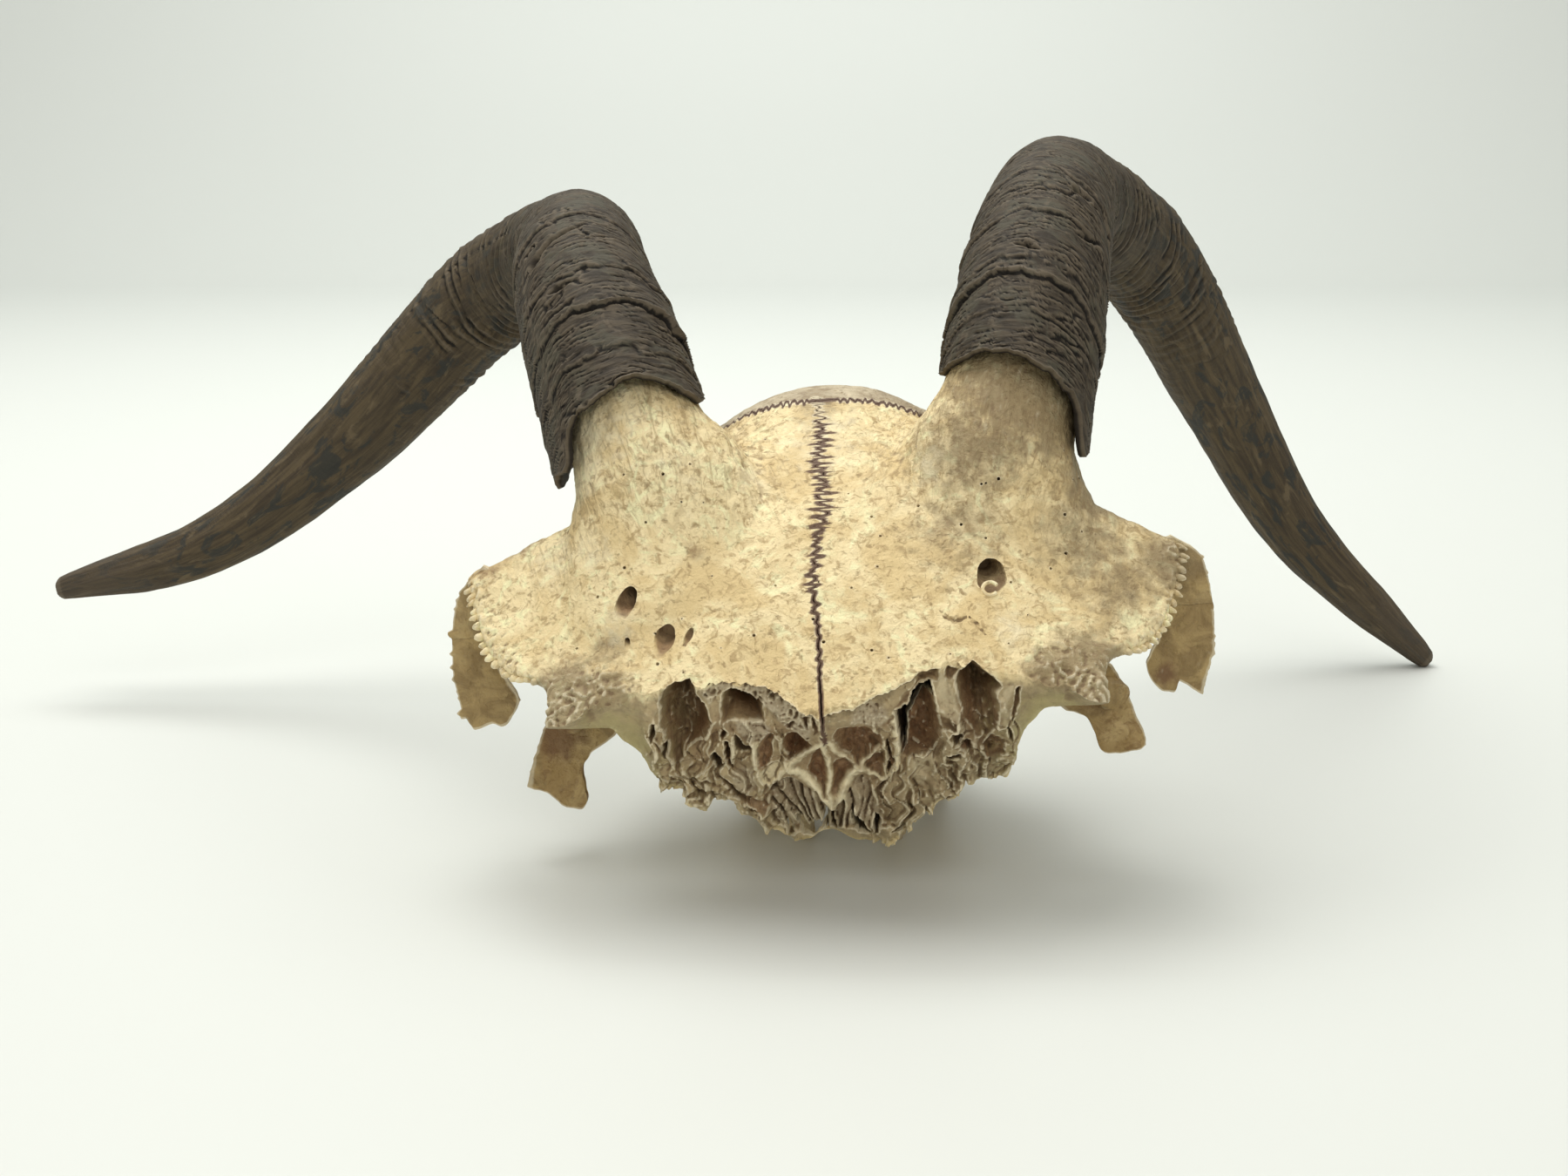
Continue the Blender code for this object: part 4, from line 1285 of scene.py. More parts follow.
            lumps = 0.5 * noise(spots, 2.4 * sponge.size, 56)
            depth[deep] += share[deep] * sponge.depth * (0.85 * pits + 0.16 * small + lumps - 0.4)
        for outline in self.fans:
            depth += rise(-0.2, 0.5, within(u, v, outline)) * self.pleats(x, z)
        bowls = np.zeros_like(x)
        for dent in self.dents:
            own = dent.recess(u, v)
            bowls = np.where(own < 0, bowls + own, np.maximum(bowls, own))
        bowls = bowls * (1 + 0.2 * fractal(flat * (1, 0.5, 1), 2.4, 3, 78).reshape(x.shape))
        for crest in self.crests:
            bowls -= crest.height * np.exp(-((beside(u, v, crest.line) / crest.width) ** 2))
        return depth + bowls

    def tint(self, points: Array, tone: Tone) -> Array:
        """How strongly a tone of the dents, or the cream of the crests, shows at points near the front.

        Args:
            points: rows of x, y, z.
            tone: the tone.

        Returns:
            A strength a row, from 0 to 1.
        """
        x, z = points[:, 0], points[:, 2]
        u, v = self.warped(x, z)
        total = np.zeros(len(points))
        for dent in self.dents:
            if dent.tone is tone:
                total = np.maximum(total, dent.strength * rise(-0.1, 0.5, within(u, v, dent.outline)))
        if tone is Tone.CREAM:
            wear_and_highlight = 0.35 + 0.65 * rise(-0.45, 0.15, noise(points, 2.2, 61))
            for crest in self.crests:
                near = rise(1.6 * crest.width, 0.5 * crest.width, beside(u, v, crest.line))
                total = np.maximum(total, wear_and_highlight * near)
        if tone is Tone.ASH:
            for sponge in self.sponges[:2]:
                total = np.maximum(total, 0.8 * rise(-0.2, 0.8, within(u, v, sponge.outline)))
            for outline in self.fans:
                total = np.maximum(total, 0.6 * rise(-0.2, 0.8, within(u, v, outline)))
        return total * rise(26, 20, points[:, 1] - front_of(z))

    def front(self) -> Object:
        """A block that cuts away everything before the break, its rear face being the broken surface.

        Returns:
            The closed block.
        """
        coarse, fine = 0.6, 0.2
        across = (np.arange(-54, -40, coarse), np.arange(-40, 40, fine), np.arange(40, 54.1, coarse))
        height = (np.arange(-12, 5, coarse), np.arange(5, 48, fine), np.arange(48, 66, coarse))
        x, z = np.meshgrid(np.concatenate(across), np.concatenate(height), indexing="ij")
        middle = 3.6 * np.exp(-((x / 9) ** 2)) * rise(28, 38, z)
        margin, brow = np.array(self.margin), np.array(self.brow)
        torn = fractal(along_x(x.ravel()), 1.9, 3, 71).reshape(x.shape)
        skin_edge = np.interp(x, brow[:, 0], brow[:, 1]) + 0.45 * torn
        eaves = 6.0 * rise(31, 28, np.abs(x)) * rise(skin_edge - 0.7, skin_edge - 0.1, z)
        limit = front_of(z) - middle - eaves - 7 * rise(40, 46, np.abs(x)) * rise(36, 40, z)
        limit = np.maximum(np.interp(x, margin[:, 0], margin[:, 1]) + 0.35 * torn, limit)
        wall = rise(29.8, 34, np.abs(x)) * rise(41.5, 37.5, z)
        limit = limit + self.recess(x, z) * (1 - 0.9 * wall) + 3.0 * wall
        limit = limit + 1.4 * rise(17.5, 14, z) * np.exp(-((x - SEPTUM_X) ** 2) / 5)
        limit = limit - 1.6 * np.exp(-((x - SEPTUM_X) ** 2 + (z - 20.5) ** 2) / 10)
        near = np.stack([x, np.full_like(x, -70), z], axis=2)
        return slab("front", near, np.stack([x, limit, z], axis=2))


@dataclass(frozen=True)
class Strap:
    """A thin bowed plate broken off below.

    Its edges are places in X and Z, from the top down, and its hem runs from the inner edge to the outer one.
    The front is the Y of its middle 40 mm up, the lean is how far it goes back for each millimetre up, and
    the serration is how long the teeth on its outer edge are.
    """

    outer: tuple
    inner: tuple
    hem: tuple
    front: float
    lean: float
    thickness: float
    serration: float
    seed: int

    def build(self) -> Object:
        """Makes the plate, thin and toothed at its outer edge and torn at its lower end.

        Returns:
            The plate.
        """
        rows, columns = 90, 34
        share = np.linspace(0, 1, rows)
        outer = Forehead.sampled(tuple((x, z, 0) for x, z in self.outer), share)
        inner = Forehead.sampled(tuple((x, z, 0) for x, z in self.inner), share)
        side = math.copysign(1, outer[0, 0])
        teeth = np.maximum(0, noise(outer, 1.15, self.seed)) * self.serration * rise(0.05, 0.2, share)
        outer[:, 0] += side * teeth
        inner[:, 0] += side * 0.35 * noise(inner, 2.0, self.seed + 1)
        u = np.linspace(0, 1, columns)[None, :, None]
        flat = inner[:, None] * (1 - u) + outer[:, None] * u
        hem = Forehead.sampled(tuple((x, z, 0) for x, z in self.hem), np.linspace(0, 1, columns))
        flat = flat + rise(0.45, 1.0, share)[:, None, None] * (hem - flat[-1])[None]
        torn = fractal(along_x(flat[-1, :, 0]), 2.4, 3, self.seed + 2)
        flat[:, :, 1] += 0.35 * rise(0.8, 1.0, share)[:, None] * torn[None]
        centre = flat[:, :, 0].mean()
        x, z = flat[:, :, 0], flat[:, :, 1]
        y = self.front + self.lean * (z - 40) - 0.02 * (x - centre) ** 2
        middle = np.stack([x, y, z], axis=2)
        body = 0.5 * self.thickness * (0.25 + 0.75 * np.sin(math.pi * np.clip(u, 0.03, 0.97)) ** 0.5)
        relief = 0.22 * fractal(middle.reshape(-1, 3), 3.2, 3, self.seed + 3).reshape(rows, columns, 1)
        deep = np.array([0, 1, 0])
        return slab("strap", middle - deep * (body + relief), middle + deep * (body + 0.5 * relief))


STRAPS = (
    Strap(
        ((61.5, 60.2), (66.2, 57), (67.7, 53.3), (68.8, 46), (68.8, 39.3), (67.6, 33.5), (66.8, 30.2)),
        ((55, 57), (58, 52), (60.5, 47.5), (59.4, 42), (58, 39.5), (56.7, 36.5)),
        ((56.7, 36.5), (57.3, 33.8), (59.3, 31.4), (61.7, 30.8), (62.5, 32.9), (64.5, 31.5), (66.8, 30.2)),
        18.7, -0.1, 2.4, 0.9, 1,
    ),
    Strap(
        ((-62.5, 61), (-67.2, 56.1), (-69.2, 50), (-69.9, 44.5), (-70.3, 40.4), (-70, 36), (-69.7, 31.8)),
        ((-55, 57), (-60, 52), (-63, 46.5), (-62, 41.5), (-60, 38.5), (-58.3, 34.7)),
        (
            (-58.3, 34.7), (-59.9, 32.1), (-61.8, 30.2), (-64.6, 30.4), (-67.2, 29.6), (-68.4, 31.6),
            (-69.7, 31.8),
        ),
        18.7, -0.1, 2.4, 1.1, 2,
    ),
    Strap(
        ((46, 36.5), (51, 34), (52.6, 31.5), (54.2, 28.2), (55.5, 24.3), (56.9, 21.1), (57, 19)),
        ((38, 31), (41.9, 26.4), (44.4, 25.3), (46.8, 23.8), (48.7, 21.2)),
        ((48.7, 21.2), (48.4, 18.8), (49.4, 17.6), (52.2, 17.4), (55.4, 18), (57, 19)),
        29.8, 0.1, 2.6, 0.2, 3,
    ),
    Strap(
        ((-45, 36), (-51.5, 31.5), (-55.6, 27.4), (-57.5, 22.9), (-59, 18.9), (-59.7, 16.1)),
        ((-38, 30), (-43.4, 24.4), (-46.5, 22.3), (-49.3, 18.9), (-49.8, 15.2)),
        (
            (-49.8, 15.2), (-48.7, 12.8), (-49.8, 11.3), (-52.1, 11.3), (-54.1, 12.9), (-56.4, 14.8),
            (-59.7, 16.1),
        ),
        29.8, 0.1, 2.6, 0.3, 4,
    ),
)


@dataclass
class Cranium:
    """The skull's bones, modelled as one body and parted along their sutures.

    Holes and pits are rows of stations, as limb takes them. The bars behind the eyes part from their rims at
    bar_top, and the broken nose from the base at ethmoid_end. Rows of stains, and of painted shade, hold
    place, radius and strength.
    """

    forehead: Forehead
    nose: NasalBreak
    horns: tuple
    voxel: float = 0.45
    soften_passes: int = 54
    orbit: tuple = (
        (80, -1, 34, 21, 21),
        (64, 3, 35, 20, 20),
        (50, 8, 37, 17, 17.5),
        (38, 13, 38, 13, 13),
        (28, 19, 38, 8, 8),
    )
    left_hole: tuple = (
        (31.3, -9.4, 47.6, 0.5, 0.3),
        (30.6, -7.2, 51.4, 1.1, 0.7),
        (29.9, -3.2, 55.2, 1.6, 1.1),
        (29.1, -0.4, 57.2, 2.7, 2.1),
        (28.6, 3.4, 58.4, 2.2, 2.0),
        (27.6, 9, 58.5, 1.2, 1.0),
    )
    right_hole: tuple = (
        (-37.0, -5.8, 53.2, 0.9, 0.6),
        (-35.6, -3.6, 55.0, 1.4, 0.9),
        (-34.1, -1.4, 57.0, 1.9, 1.8),
        (-31.6, 3.4, 58.0, 1.8, 1.8),
        (-29.6, 9, 57.0, 1.2, 1.2),
    )
    pits: tuple = (
        ((-29.6, -9.9, 47.6, 1.0, 0.7), (-28.0, -7.2, 50.6, 1.9, 1.6), (-26.9, -3.4, 52.0, 1.5, 1.3)),
        ((-24.2, -8.1, 50.1, 0.4, 0.5), (-23.4, -6.7, 51.3, 0.75, 1.1), (-22.7, -5.4, 52.1, 0.4, 0.6)),
        ((-34.3, -7.6, 49.2, 0.7, 0.7), (-34.2, -5.0, 50.4, 0.6, 0.6), (-34.0, -3.4, 51.0, 0.4, 0.4)),
    )
    crack: tuple = (
        (19.6, -5.4, 54.0, 0.4, 0.5),
        (20.6, -6.3, 52.6, 0.45, 0.6),
        (22.2, -6.6, 51.8, 0.35, 0.5),
        (24.4, -5.9, 52.3, 0.45, 0.6),
        (26.0, -6.8, 51.0, 0.4, 0.5),
        (27.2, -8.0, 49.4, 0.3, 0.4),
    )
    ring_centre: tuple = (28.5, -0.95, 55.8)
    ring_radius: float = 1.3
    ring_wall: float = 0.36
    bar_top: float = 47.5
    ethmoid_end: float = 23.0
    sphenoid_half: float = 16.0
    stains: tuple = (
        (Tone.GREY, (
            (38, 22, 87, 17, 1.15), (48, 18, 70, 12, 0.9), (28, 18, 76, 13, 0.95), (46, 8, 62, 13, 0.74),
            (61, 12, 56, 9, 0.85), (24, 6, 66, 14, 0.6), (0, 34, 83, 9, 0.6), (-37, 28, 95, 8, 1.0),
            (-38, -6, 50, 6, 0.7), (-46, -11.5, 40, 10, 1.5), (46, -11.5, 40, 11, 1.5),
            (-38, -11, 42.5, 6, 1.0), (38, -11, 42.5, 6, 1.0), (52, 4, 55, 11, 0.74),
        )),
        (Tone.RUST, (
            (-49, 26, 87, 9, 1.1), (-53, 29, 25, 5.5, 1.1), (47, 29, 27, 3.5, 0.8), (60, 18, 34, 3, 0.8),
            (-55, 19, 61, 7, 0.8), (-62, 16, 60, 5, 0.6), (-22, 2.4, 63.9, 2.6, 0.6),
        )),
        (Tone.UMBER, (
            (-34, -1.4, 57, 3.5, 1.0), (-28, -7.2, 50.6, 3.5, 1.0), (-23.5, -6.9, 51.1, 2.2, 0.9),
            (29.3, -0.8, 57, 3.5, 0.9),
        )),
        # Painted shade: a darkening over the broken nose's left side (+X).
        (Tone.PAINTED_SHADE, (
            (33, -13, 22, 17, 0.34),
        )),
        (Tone.PALE, (
            (0, 24, 79, 12, 0.6), (-14, 16, 73, 8, 0.6), (31.5, -6.4, 50, 4.4, 0.7), (-26, 16, 74, 11, 0.7),
            (-36, -4, 54, 6, 0.6), (20, 16, 74, 6, 0.6), (-48, 12, 62, 7, 0.6), (-40, 6, 64, 6, 0.6),
            (-38, 22, 80, 13, 1.0),
        )),
        (Tone.OLIVE, (
            (-38, -2, 33, 13, 1.0), (38, -2, 33, 13, 1.0),
        )),
        (Tone.AMBER, (
            (63, 19, 51, 6, 1.2), (-64, 19, 51, 6, 1.2), (45, 25, 31, 9, 1.2), (-45, 25, 31, 9, 1.2),
        )),
    )

    def masses(self) -> list:
        """The rounded masses that fuse into one skull.

        Returns:
            The closed pieces.
        """
        pieces = [
            self.forehead.plate(),
            self.keel(),
            ball((0, 47, 55), (33, 33.5, 31.5), -24, 5),
            ball((0, 66, 50), (30, 11, 19), -8, 5),
            ball((0, 71, 57), (13, 7, 8), -30),
            limb(((0, 73, 21, 12, 6), (0, 60, 24, 10, 6), (0, 44, 29, 9, 6), (0, 28, 33, 9, 6))),
            *(horn.core_foot() for horn in self.horns),
        ]
        paired = (
            # condyle, mastoid, bulla, ear tube, jugular process, pterygoid plate, cheek root
            ((8, 70, 31, 7, 7), (13, 76, 25, 8, 8), (14, 78, 18, 7.5, 7.5), (11, 76, 12, 5, 5)),
            ((20, 60, 40, 12, 10), (30, 62, 38, 6.5, 9), (33, 61, 33, 4, 7)),
            ((19, 57, 30, 7, 9), (20, 54, 22, 7.5, 9.5), (20, 52, 16.5, 5, 6.5), (20, 51, 13.5, 2, 3)),
            ((20, 52, 31, 5, 5), (30, 53, 33, 4.2, 4.2), (37, 54, 36, 3.6, 3.6)),
            ((22, 68, 33, 5, 8), (20.5, 68, 20, 3.6, 6.5), (18, 65.5, 8, 3, 4.8), (16.5, 63, -3, 2.6, 3.6)),
            ((8, 36, 34, 3, 9), (8, 37, 22, 2.4, 8), (8.5, 38, 10, 2.2, 6.5), (9, 39.5, -3, 2.2, 4.5)),
            (
                (24, 47, 36, 9, 6),
                (36, 43, 34, 6.5, 4.5),
                (43, 38, 32, 4.6, 4.2),
                (49, 31, 29.5, 4, 3.6),
                (52, 26, 28, 3.4, 3),
            ),
        )
        for stations in paired:
            pieces += [limb(stations), limb(mirrored(stations))]
        return pieces

    @staticmethod
    def keel() -> Object:
        """The V-shaped stub of the nose, running back to the braincase.

        Returns:
            The closed stub.
        """
        section = (
            (40, 0), (37.4, 5), (34.4, 9), (32, 13), (28.6, 19.6), (23.4, 18), (18.4, 23.4), (12, 32),
            (7.2, 34.6), (2, 34.6), (-3.2, 32.4), (-8, 34), (-13.8, 28.6), (-19.4, 22.2), (-25.4, 19.8),
            (-30.4, 18), (-34.6, 11.4), (-38.6, 5.9), (-40, 0),
        )
        tapers = ((-5, 1.0, 1.0), (9, 0.9, 1.0), (20, 0.7, 0.97), (32, 0.52, 0.9), (42, 0.46, 0.8))
        rings = [
            [on_break(x * narrow, down * deep, back) for x, down in section]
            for back, narrow, deep in tapers
        ]
        return tube("keel", np.array(rings))

    def body(self) -> Object:
        """The masses fused, softened and given the relief of old bone.

        Returns:
            The body.
        """
        obj = merged(self.masses(), "cranium")
        remesh = obj.modifiers.new("fuse", "REMESH")
        remesh.mode = "VOXEL"
        remesh.voxel_size = self.voxel
        soften = obj.modifiers.new("soften", "SMOOTH")
        soften.factor = 0.5
        soften.iterations = self.soften_passes
        bake(obj)
        return push(obj, self.relief(points_of(obj.data), normals_of(obj.data)))

    def relief(self, points: Array, normals: Array) -> Array:
        """Height of the swells, fibres and rough patches over the plain form.

        Args:
            points: rows of x, y, z.
            normals: the outward direction at each.

        Returns:
            A height a row.
        """
        height = 0.26 * fractal(points, 9, 2, 1) + 0.09 * fractal(points, 1.9, 2, 2)
        height -= 0.08 * rise(0.3, 0.7, noise(points, 1.3, 4)) * rise(-0.1, 0.4, noise(points, 9, 6))
        base = rise(60, 74, points[:, 1]) + rise(30, 18, points[:, 2]) * rise(26, 36, points[:, 1])
        height += 0.42 * np.clip(base, 0, 1) * (creases(points, 4.5, 2, 3) - 0.3)
        for horn in self.horns:
            foot = np.array(horn.line[0], float)
            axis = horn.axis()
            along = (points - foot) @ axis
            near = np.linalg.norm(points - foot - along[:, None] * axis, axis=1)
            fibre = points - along[:, None] * axis * 0.5
            share = rise(-34, -12, along) * rise(30, 20, near)
            pitted = 0.16 * rise(0.25, 0.8, noise(fibre, 1.2, 8))
            height += share * (0.26 * fractal(fibre, 2.4, 3, 5) - pitted)
        for side in (-1, 1):
            corner = swell(points, (side * 45, -11.5, 40), 8.5)
            corner += 0.7 * swell(points, (side * 37, -11, 42.5), 5.5)
            corner *= rise(0.2, -0.1, normals[:, 1])
            bent = points + 1.5 * jitter(points, 4.0, 24)
            fibres = creases(bent * (0.9, 1.0, 0.5), 2.1, 3, 11)
            height += 0.6 * np.minimum(1, corner) * (fibres - 0.3)
        rim = np.abs(np.abs(points[:, 0]) - np.interp(points[:, 1], (-8, 0, 7, 16, 23), (49, 56, 61, 66, 57)))
        rim = rise(3.5, 0.5, rim) * rise(-10, -4, points[:, 1]) * rise(24, 18, points[:, 1])
        height += 0.35 * rim * creases(points, 1.7, 2, 14)
        crust = rise(52, 57, np.abs(points[:, 0])) * rise(61, 57, points[:, 2]) * rise(10, 14, points[:, 1])
        height += 0.4 * crust * (creases(points, 2.2, 3, 15) - 0.2)
        return height

    def eye_holes(self) -> list:
        """The spaces of the eyes, kept clear of the forehead's plate above them.

        Returns:
            The two closed spaces.
        """
        made = []
        for stations in (self.orbit, mirrored(self.orbit)):
            space = roughen(limb(stations, sides=56, spacing=1.2), 0.25, 6, 3)
            made.append(combine(space, [self.forehead.plate(9)], "DIFFERENCE"))
        return made

    def cutters(self, skin: BVHTree) -> list:
        """Everything that is cut from the body.

        Args:
            skin: the body's surface.

        Returns:
            The closed pieces.
        """
        nerve_holes = (
            (
                (0, 92, 20, 8.5, 8), (0, 78, 26, 9, 8.5), (0, 66, 31, 10, 9), (0, 52, 38, 14, 11),
                (0, 44, 42, 8, 6),
            ),
            ((20, 20, 34, 2.2, 2.6), (14, 28, 36, 1.8, 2.2), (9, 36, 38, 1, 1)),
            ((-20, 20, 34, 2.2, 2.6), (-14, 28, 36, 1.8, 2.2), (-9, 36, 38, 1, 1)),
        )
        made = [*self.eye_holes(), self.nose.front()]
        made += [tunnel(stations, 0.25, 60 + i) for i, stations in enumerate(nerve_holes)]
        brow_holes = (self.left_hole, self.right_hole, *self.pits)
        made += [tunnel(stations, 0.22, 70 + i) for i, stations in enumerate(brow_holes)]
        made.append(roughen(limb(self.crack, sides=12, spacing=0.4), 0.3, 1.3, 90))
        draw = random.Random(21)
        pores = 46
        for _ in range(pores):
            start = Vector((draw.uniform(-46, 46), -60, draw.uniform(46, 80)))
            spot, normal, _, _ = skin.ray_cast(start, Vector((0, 1, 0)))
            if spot is None:
                continue
            radius = draw.uniform(0.14, 0.34)
            stations = [(*(spot + normal * reach), radius, radius) for reach in (0.8, -0.6, -1.5)]
            made.append(limb(tuple(stations), sides=9, spacing=0.7))
        return made

    def beads(self, skin: BVHTree) -> list:
        """The rows of little rounded teeth along the rims over the eyes.

        Args:
            skin: the body's surface.

        Returns:
            The closed teeth.
        """
        draw = random.Random(3)
        made = []
        for side, first, last in ((-1, 1.3, 4.5), (1, 1.5, 4.6)):
            share = np.linspace(first, last, 200) / (len(self.forehead.edge) - 1)
            path = Forehead.sampled(self.forehead.edge, share)
            path[:, 0] *= side * (self.forehead.left_reach if side > 0 else 1)
            run = np.concatenate([[0], np.cumsum(np.linalg.norm(np.diff(path, axis=0), axis=1))])
            at = 0.0
            while at < run[-1]:
                place = Vector([np.interp(at, run, column) for column in path.T])
                ahead = Vector([np.interp(at + 1, run, column) for column in path.T]) - place
                spot, normal, _, _ = skin.find_nearest(place + Vector((0, 0.8, -1.0)))
                upper = min(1, max(0, at / run[-1] * 2.6 - 1))
                long = draw.uniform(0.9, 1.8) + 0.8 * upper
                wide = draw.uniform(0.45, 0.9) - 0.14 * upper
                away = Vector((side, -0.4, -0.35 + draw.uniform(-0.3, 0.3))).normalized()
                along = (ahead - away * ahead.dot(away)).normalized()
                turned = Matrix((along, away, along.cross(away))).transposed().to_4x4()
                bead = ball((0, 0, 0), (wide, long, draw.uniform(0.6, 0.85)), detail=3)
                bead.data.transform(Matrix.Translation(spot - away * (0.3 * long) + normal * 0.2) @ turned)
                made.append(roughen(bead, 0.12, 0.9, len(made)))
                at += 2 * wide + draw.uniform(0.1, 0.6)
        return made

    def nerve_ring(self) -> Object:
        """The small open ring of bone inside the left nerve hole.

        Returns:
            The closed bar, bent round and facing out of the hole.
        """
        back, up = 0.67, 0.74
        stations = []
        for turn in np.linspace(0.5, 5.6, 12):
            aside, along = self.ring_radius * math.cos(turn), self.ring_radius * math.sin(turn)
            place = np.array(self.ring_centre) + np.array([aside, back * along, up * along])
            stations.append((*place, self.ring_wall, self.ring_wall))
        return limb(tuple(stations), (0, up, -back), sides=10, spacing=0.4)

    @staticmethod
    def zigzag(run: Array, seed: int, reach: float) -> Array:
        """The sideways wander of an interlocking suture.

        Args:
            run: the distances.
            seed: picks the pattern.
            reach: length of the loops.

        Returns:
            The shift at each distance.
        """
        line = along_x(run)
        phase = run / 1.35 + 0.6 * noise(line, 3.4, seed)
        tooth = np.abs(phase % 1 - 0.5) * 4 - 1
        small = np.abs((run / 0.72 + 0.3 * noise(line, 2.0, seed + 1)) % 1 - 0.5) * 4 - 1
        size = 0.7 + 0.7 * noise(line, 2.6, seed + 2)
        loops = reach * (size * np.sign(tooth) * np.abs(tooth) ** 0.8 + 0.25 * small)
        return loops + 0.7 * reach * noise(line, 6, seed + 3)

    def midline(self, y: Array) -> Array:
        """X of the suture down the middle of the forehead; it straightens near the nose.

        Args:
            y: how far back.

        Returns:
            The X at each Y.
        """
        teeth = 0.2 * rise(-17, -13, y) + 0.5 * rise(-8.5, -3.5, y)
        teeth = teeth + 0.5 * rise(2, 9, y) - 0.3 * rise(27, 33, y)
        stops = (-18, -8, -3.5, 1.3, 10, 17, 26, 34)
        drift = np.interp(y, stops, (-0.9, -1.1, -1.9, -1.4, 0.3, -0.7, 0.1, -0.9))
        return drift + 0.14 * noise(along_x(y), 1.1, 6) + teeth * self.zigzag(y, 31, 1.2)

    def coronal(self, x: Array) -> Array:
        """Y of the wandering suture between the forehead and the dome."""
        return coronal_depth(x) + self.zigzag(x, 51, 1.3) * rise(1.5, 4, np.abs(x))

    def blades(self) -> list:
        """Thin curtains that part the bones along their sutures.

        Returns:
            The closed curtains.
        """
        made = []

        def curtain(rows: Array, shift: tuple, gap: float | Array) -> None:
            """Adds a blade along a grid of points, of one thickness or of its own for each row."""
            half = np.array(shift) * np.reshape(gap, (-1, 1, 1)) / 2
            made.append(slab("blade", rows - half, rows + half))

        def wavy(grid: Array, shift: tuple, amount: float, seed: int) -> Array:
            """The grid with shallow waves along the blade's own normal."""
            wave = amount * fractal(grid.reshape(-1, 3), 5.0, 3, seed).reshape(*grid.shape[:2], 1)
            return grid + np.array(shift) * wave

        x, y = np.meshgrid(np.linspace(-55.6, 55.6, 112), np.linspace(-40, 70.5, 110), indexing="ij")
        seam = np.stack([x, y, floor_height(y)], axis=2)
        curtain(wavy(seam, (0, 0, 1), 0.7, 1), (0, 0, 1), 0.06)
        run = np.arange(-30, 37.4, 0.11)
        base = floor_height(run)
        heights = (base - 1.6, base + 8, base + 12, base * 0 + 120)
        rows = [np.stack([self.midline(run), run, height], axis=1) for height in heights]
        curtain(np.array(rows), (1, 0, 0), np.array([0.05, 0.05, 0.32, 0.32]))
        across = np.arange(-62, 62.1, 0.16)
        arc = self.coronal(across)
        heights = (floor_height(arc) - 1.6, across * 0 + 120)
        rows = [np.stack([across, arc, height], axis=1) for height in heights]
        curtain(np.array(rows), (0, 1, 0), 0.3)
        x, z = np.meshgrid(np.arange(-70, 70.1, 1.0), np.arange(-20, 120, 1.0), indexing="ij")
        curtain(wavy(np.stack([x, nape_depth(z), z], axis=2), (0, 1, 0), 0.8, 2), (0, 1, 0), 0.14)
        x, share = np.meshgrid(np.arange(-80, 80.1, 1.0), np.linspace(0, 1, 60), indexing="ij")
        y = np.full_like(x, self.ethmoid_end)
        top = floor_height(y) + 1.6
        curtain(wavy(np.stack([x, y, -20 + (top + 20) * share], axis=2), (0, 1, 0), 0.6, 3), (0, 1, 0), 0.12)
        y, share = np.meshgrid(np.linspace(0, 52, 60), np.linspace(0, 1, 60), indexing="ij")
        z = -20 + (floor_height(y + 22.6) + 21.6) * share
        y = 22.6 + y * (nape_depth(z) - 21.6) / 52
        for side in (-1, 1):
            grid = np.stack([y * 0 + side * self.sphenoid_half, y, z], axis=2)
            curtain(wavy(grid, (1, 0, 0), 0.6, 4), (1, 0, 0), 0.12)
            x, deep = np.meshgrid(np.linspace(54, 76, 40) * side, np.linspace(12.5, 25, 24), indexing="ij")
            grid = np.stack([x, deep, x * 0 + self.bar_top], axis=2)
            curtain(wavy(grid, (0, 0, 1), 0.5, 5), (0, 0, 1), 0.05)
        return made

    def bone_at(self, place: Vector) -> str:
        """The CAD node that holds a place inside the skull.

        Args:
            place: the place.

        Returns:
            The node's name.
        """
        side = "left" if place.x > 0 else "right"
        if abs(place.x) > 55 and place.z < self.bar_top and place.y < 24:
            return f"postorbital_bar_{side}"
        if place.y > nape_depth(place.z):
            return "occipital"
        if place.z > floor_height(place.y):
            return "parietal" if place.y > coronal_depth(place.x) else f"frontal_{side}"
        if place.y < self.ethmoid_end:
            return "ethmoid"
        return "sphenoid" if abs(place.x) < self.sphenoid_half else f"temporal_{side}"

    def build(self) -> dict:
        """Makes every bone; of the parts that fall in one bone, the largest is kept.

        Returns:
            The bones by the names of the CAD nodes that they stand for.
        """
        body = self.body()
        places = [v.co[:] for v in body.data.vertices]
        skin = BVHTree.FromPolygons(places, [p.vertices[:] for p in body.data.polygons])
        combine(body, self.cutters(skin), "DIFFERENCE")
        extras = [*(strap.build() for strap in STRAPS), *self.beads(skin), self.nerve_ring()]
        combine(body, extras, "UNION")
        combine(body, self.blades(), "DIFFERENCE")
        bones = {}
        for part in sorted(loose_parts(body), key=lambda o: len(o.data.vertices)):
            name = self.bone_at(Vector(points_of(part.data).mean(axis=0)))
            if name in bones:
                discard([bones[name]])
            bones[name] = part
        for name, bone in bones.items():
            bone.name = f"bone_{name}"
            self.stain(bone, skin)
        return bones

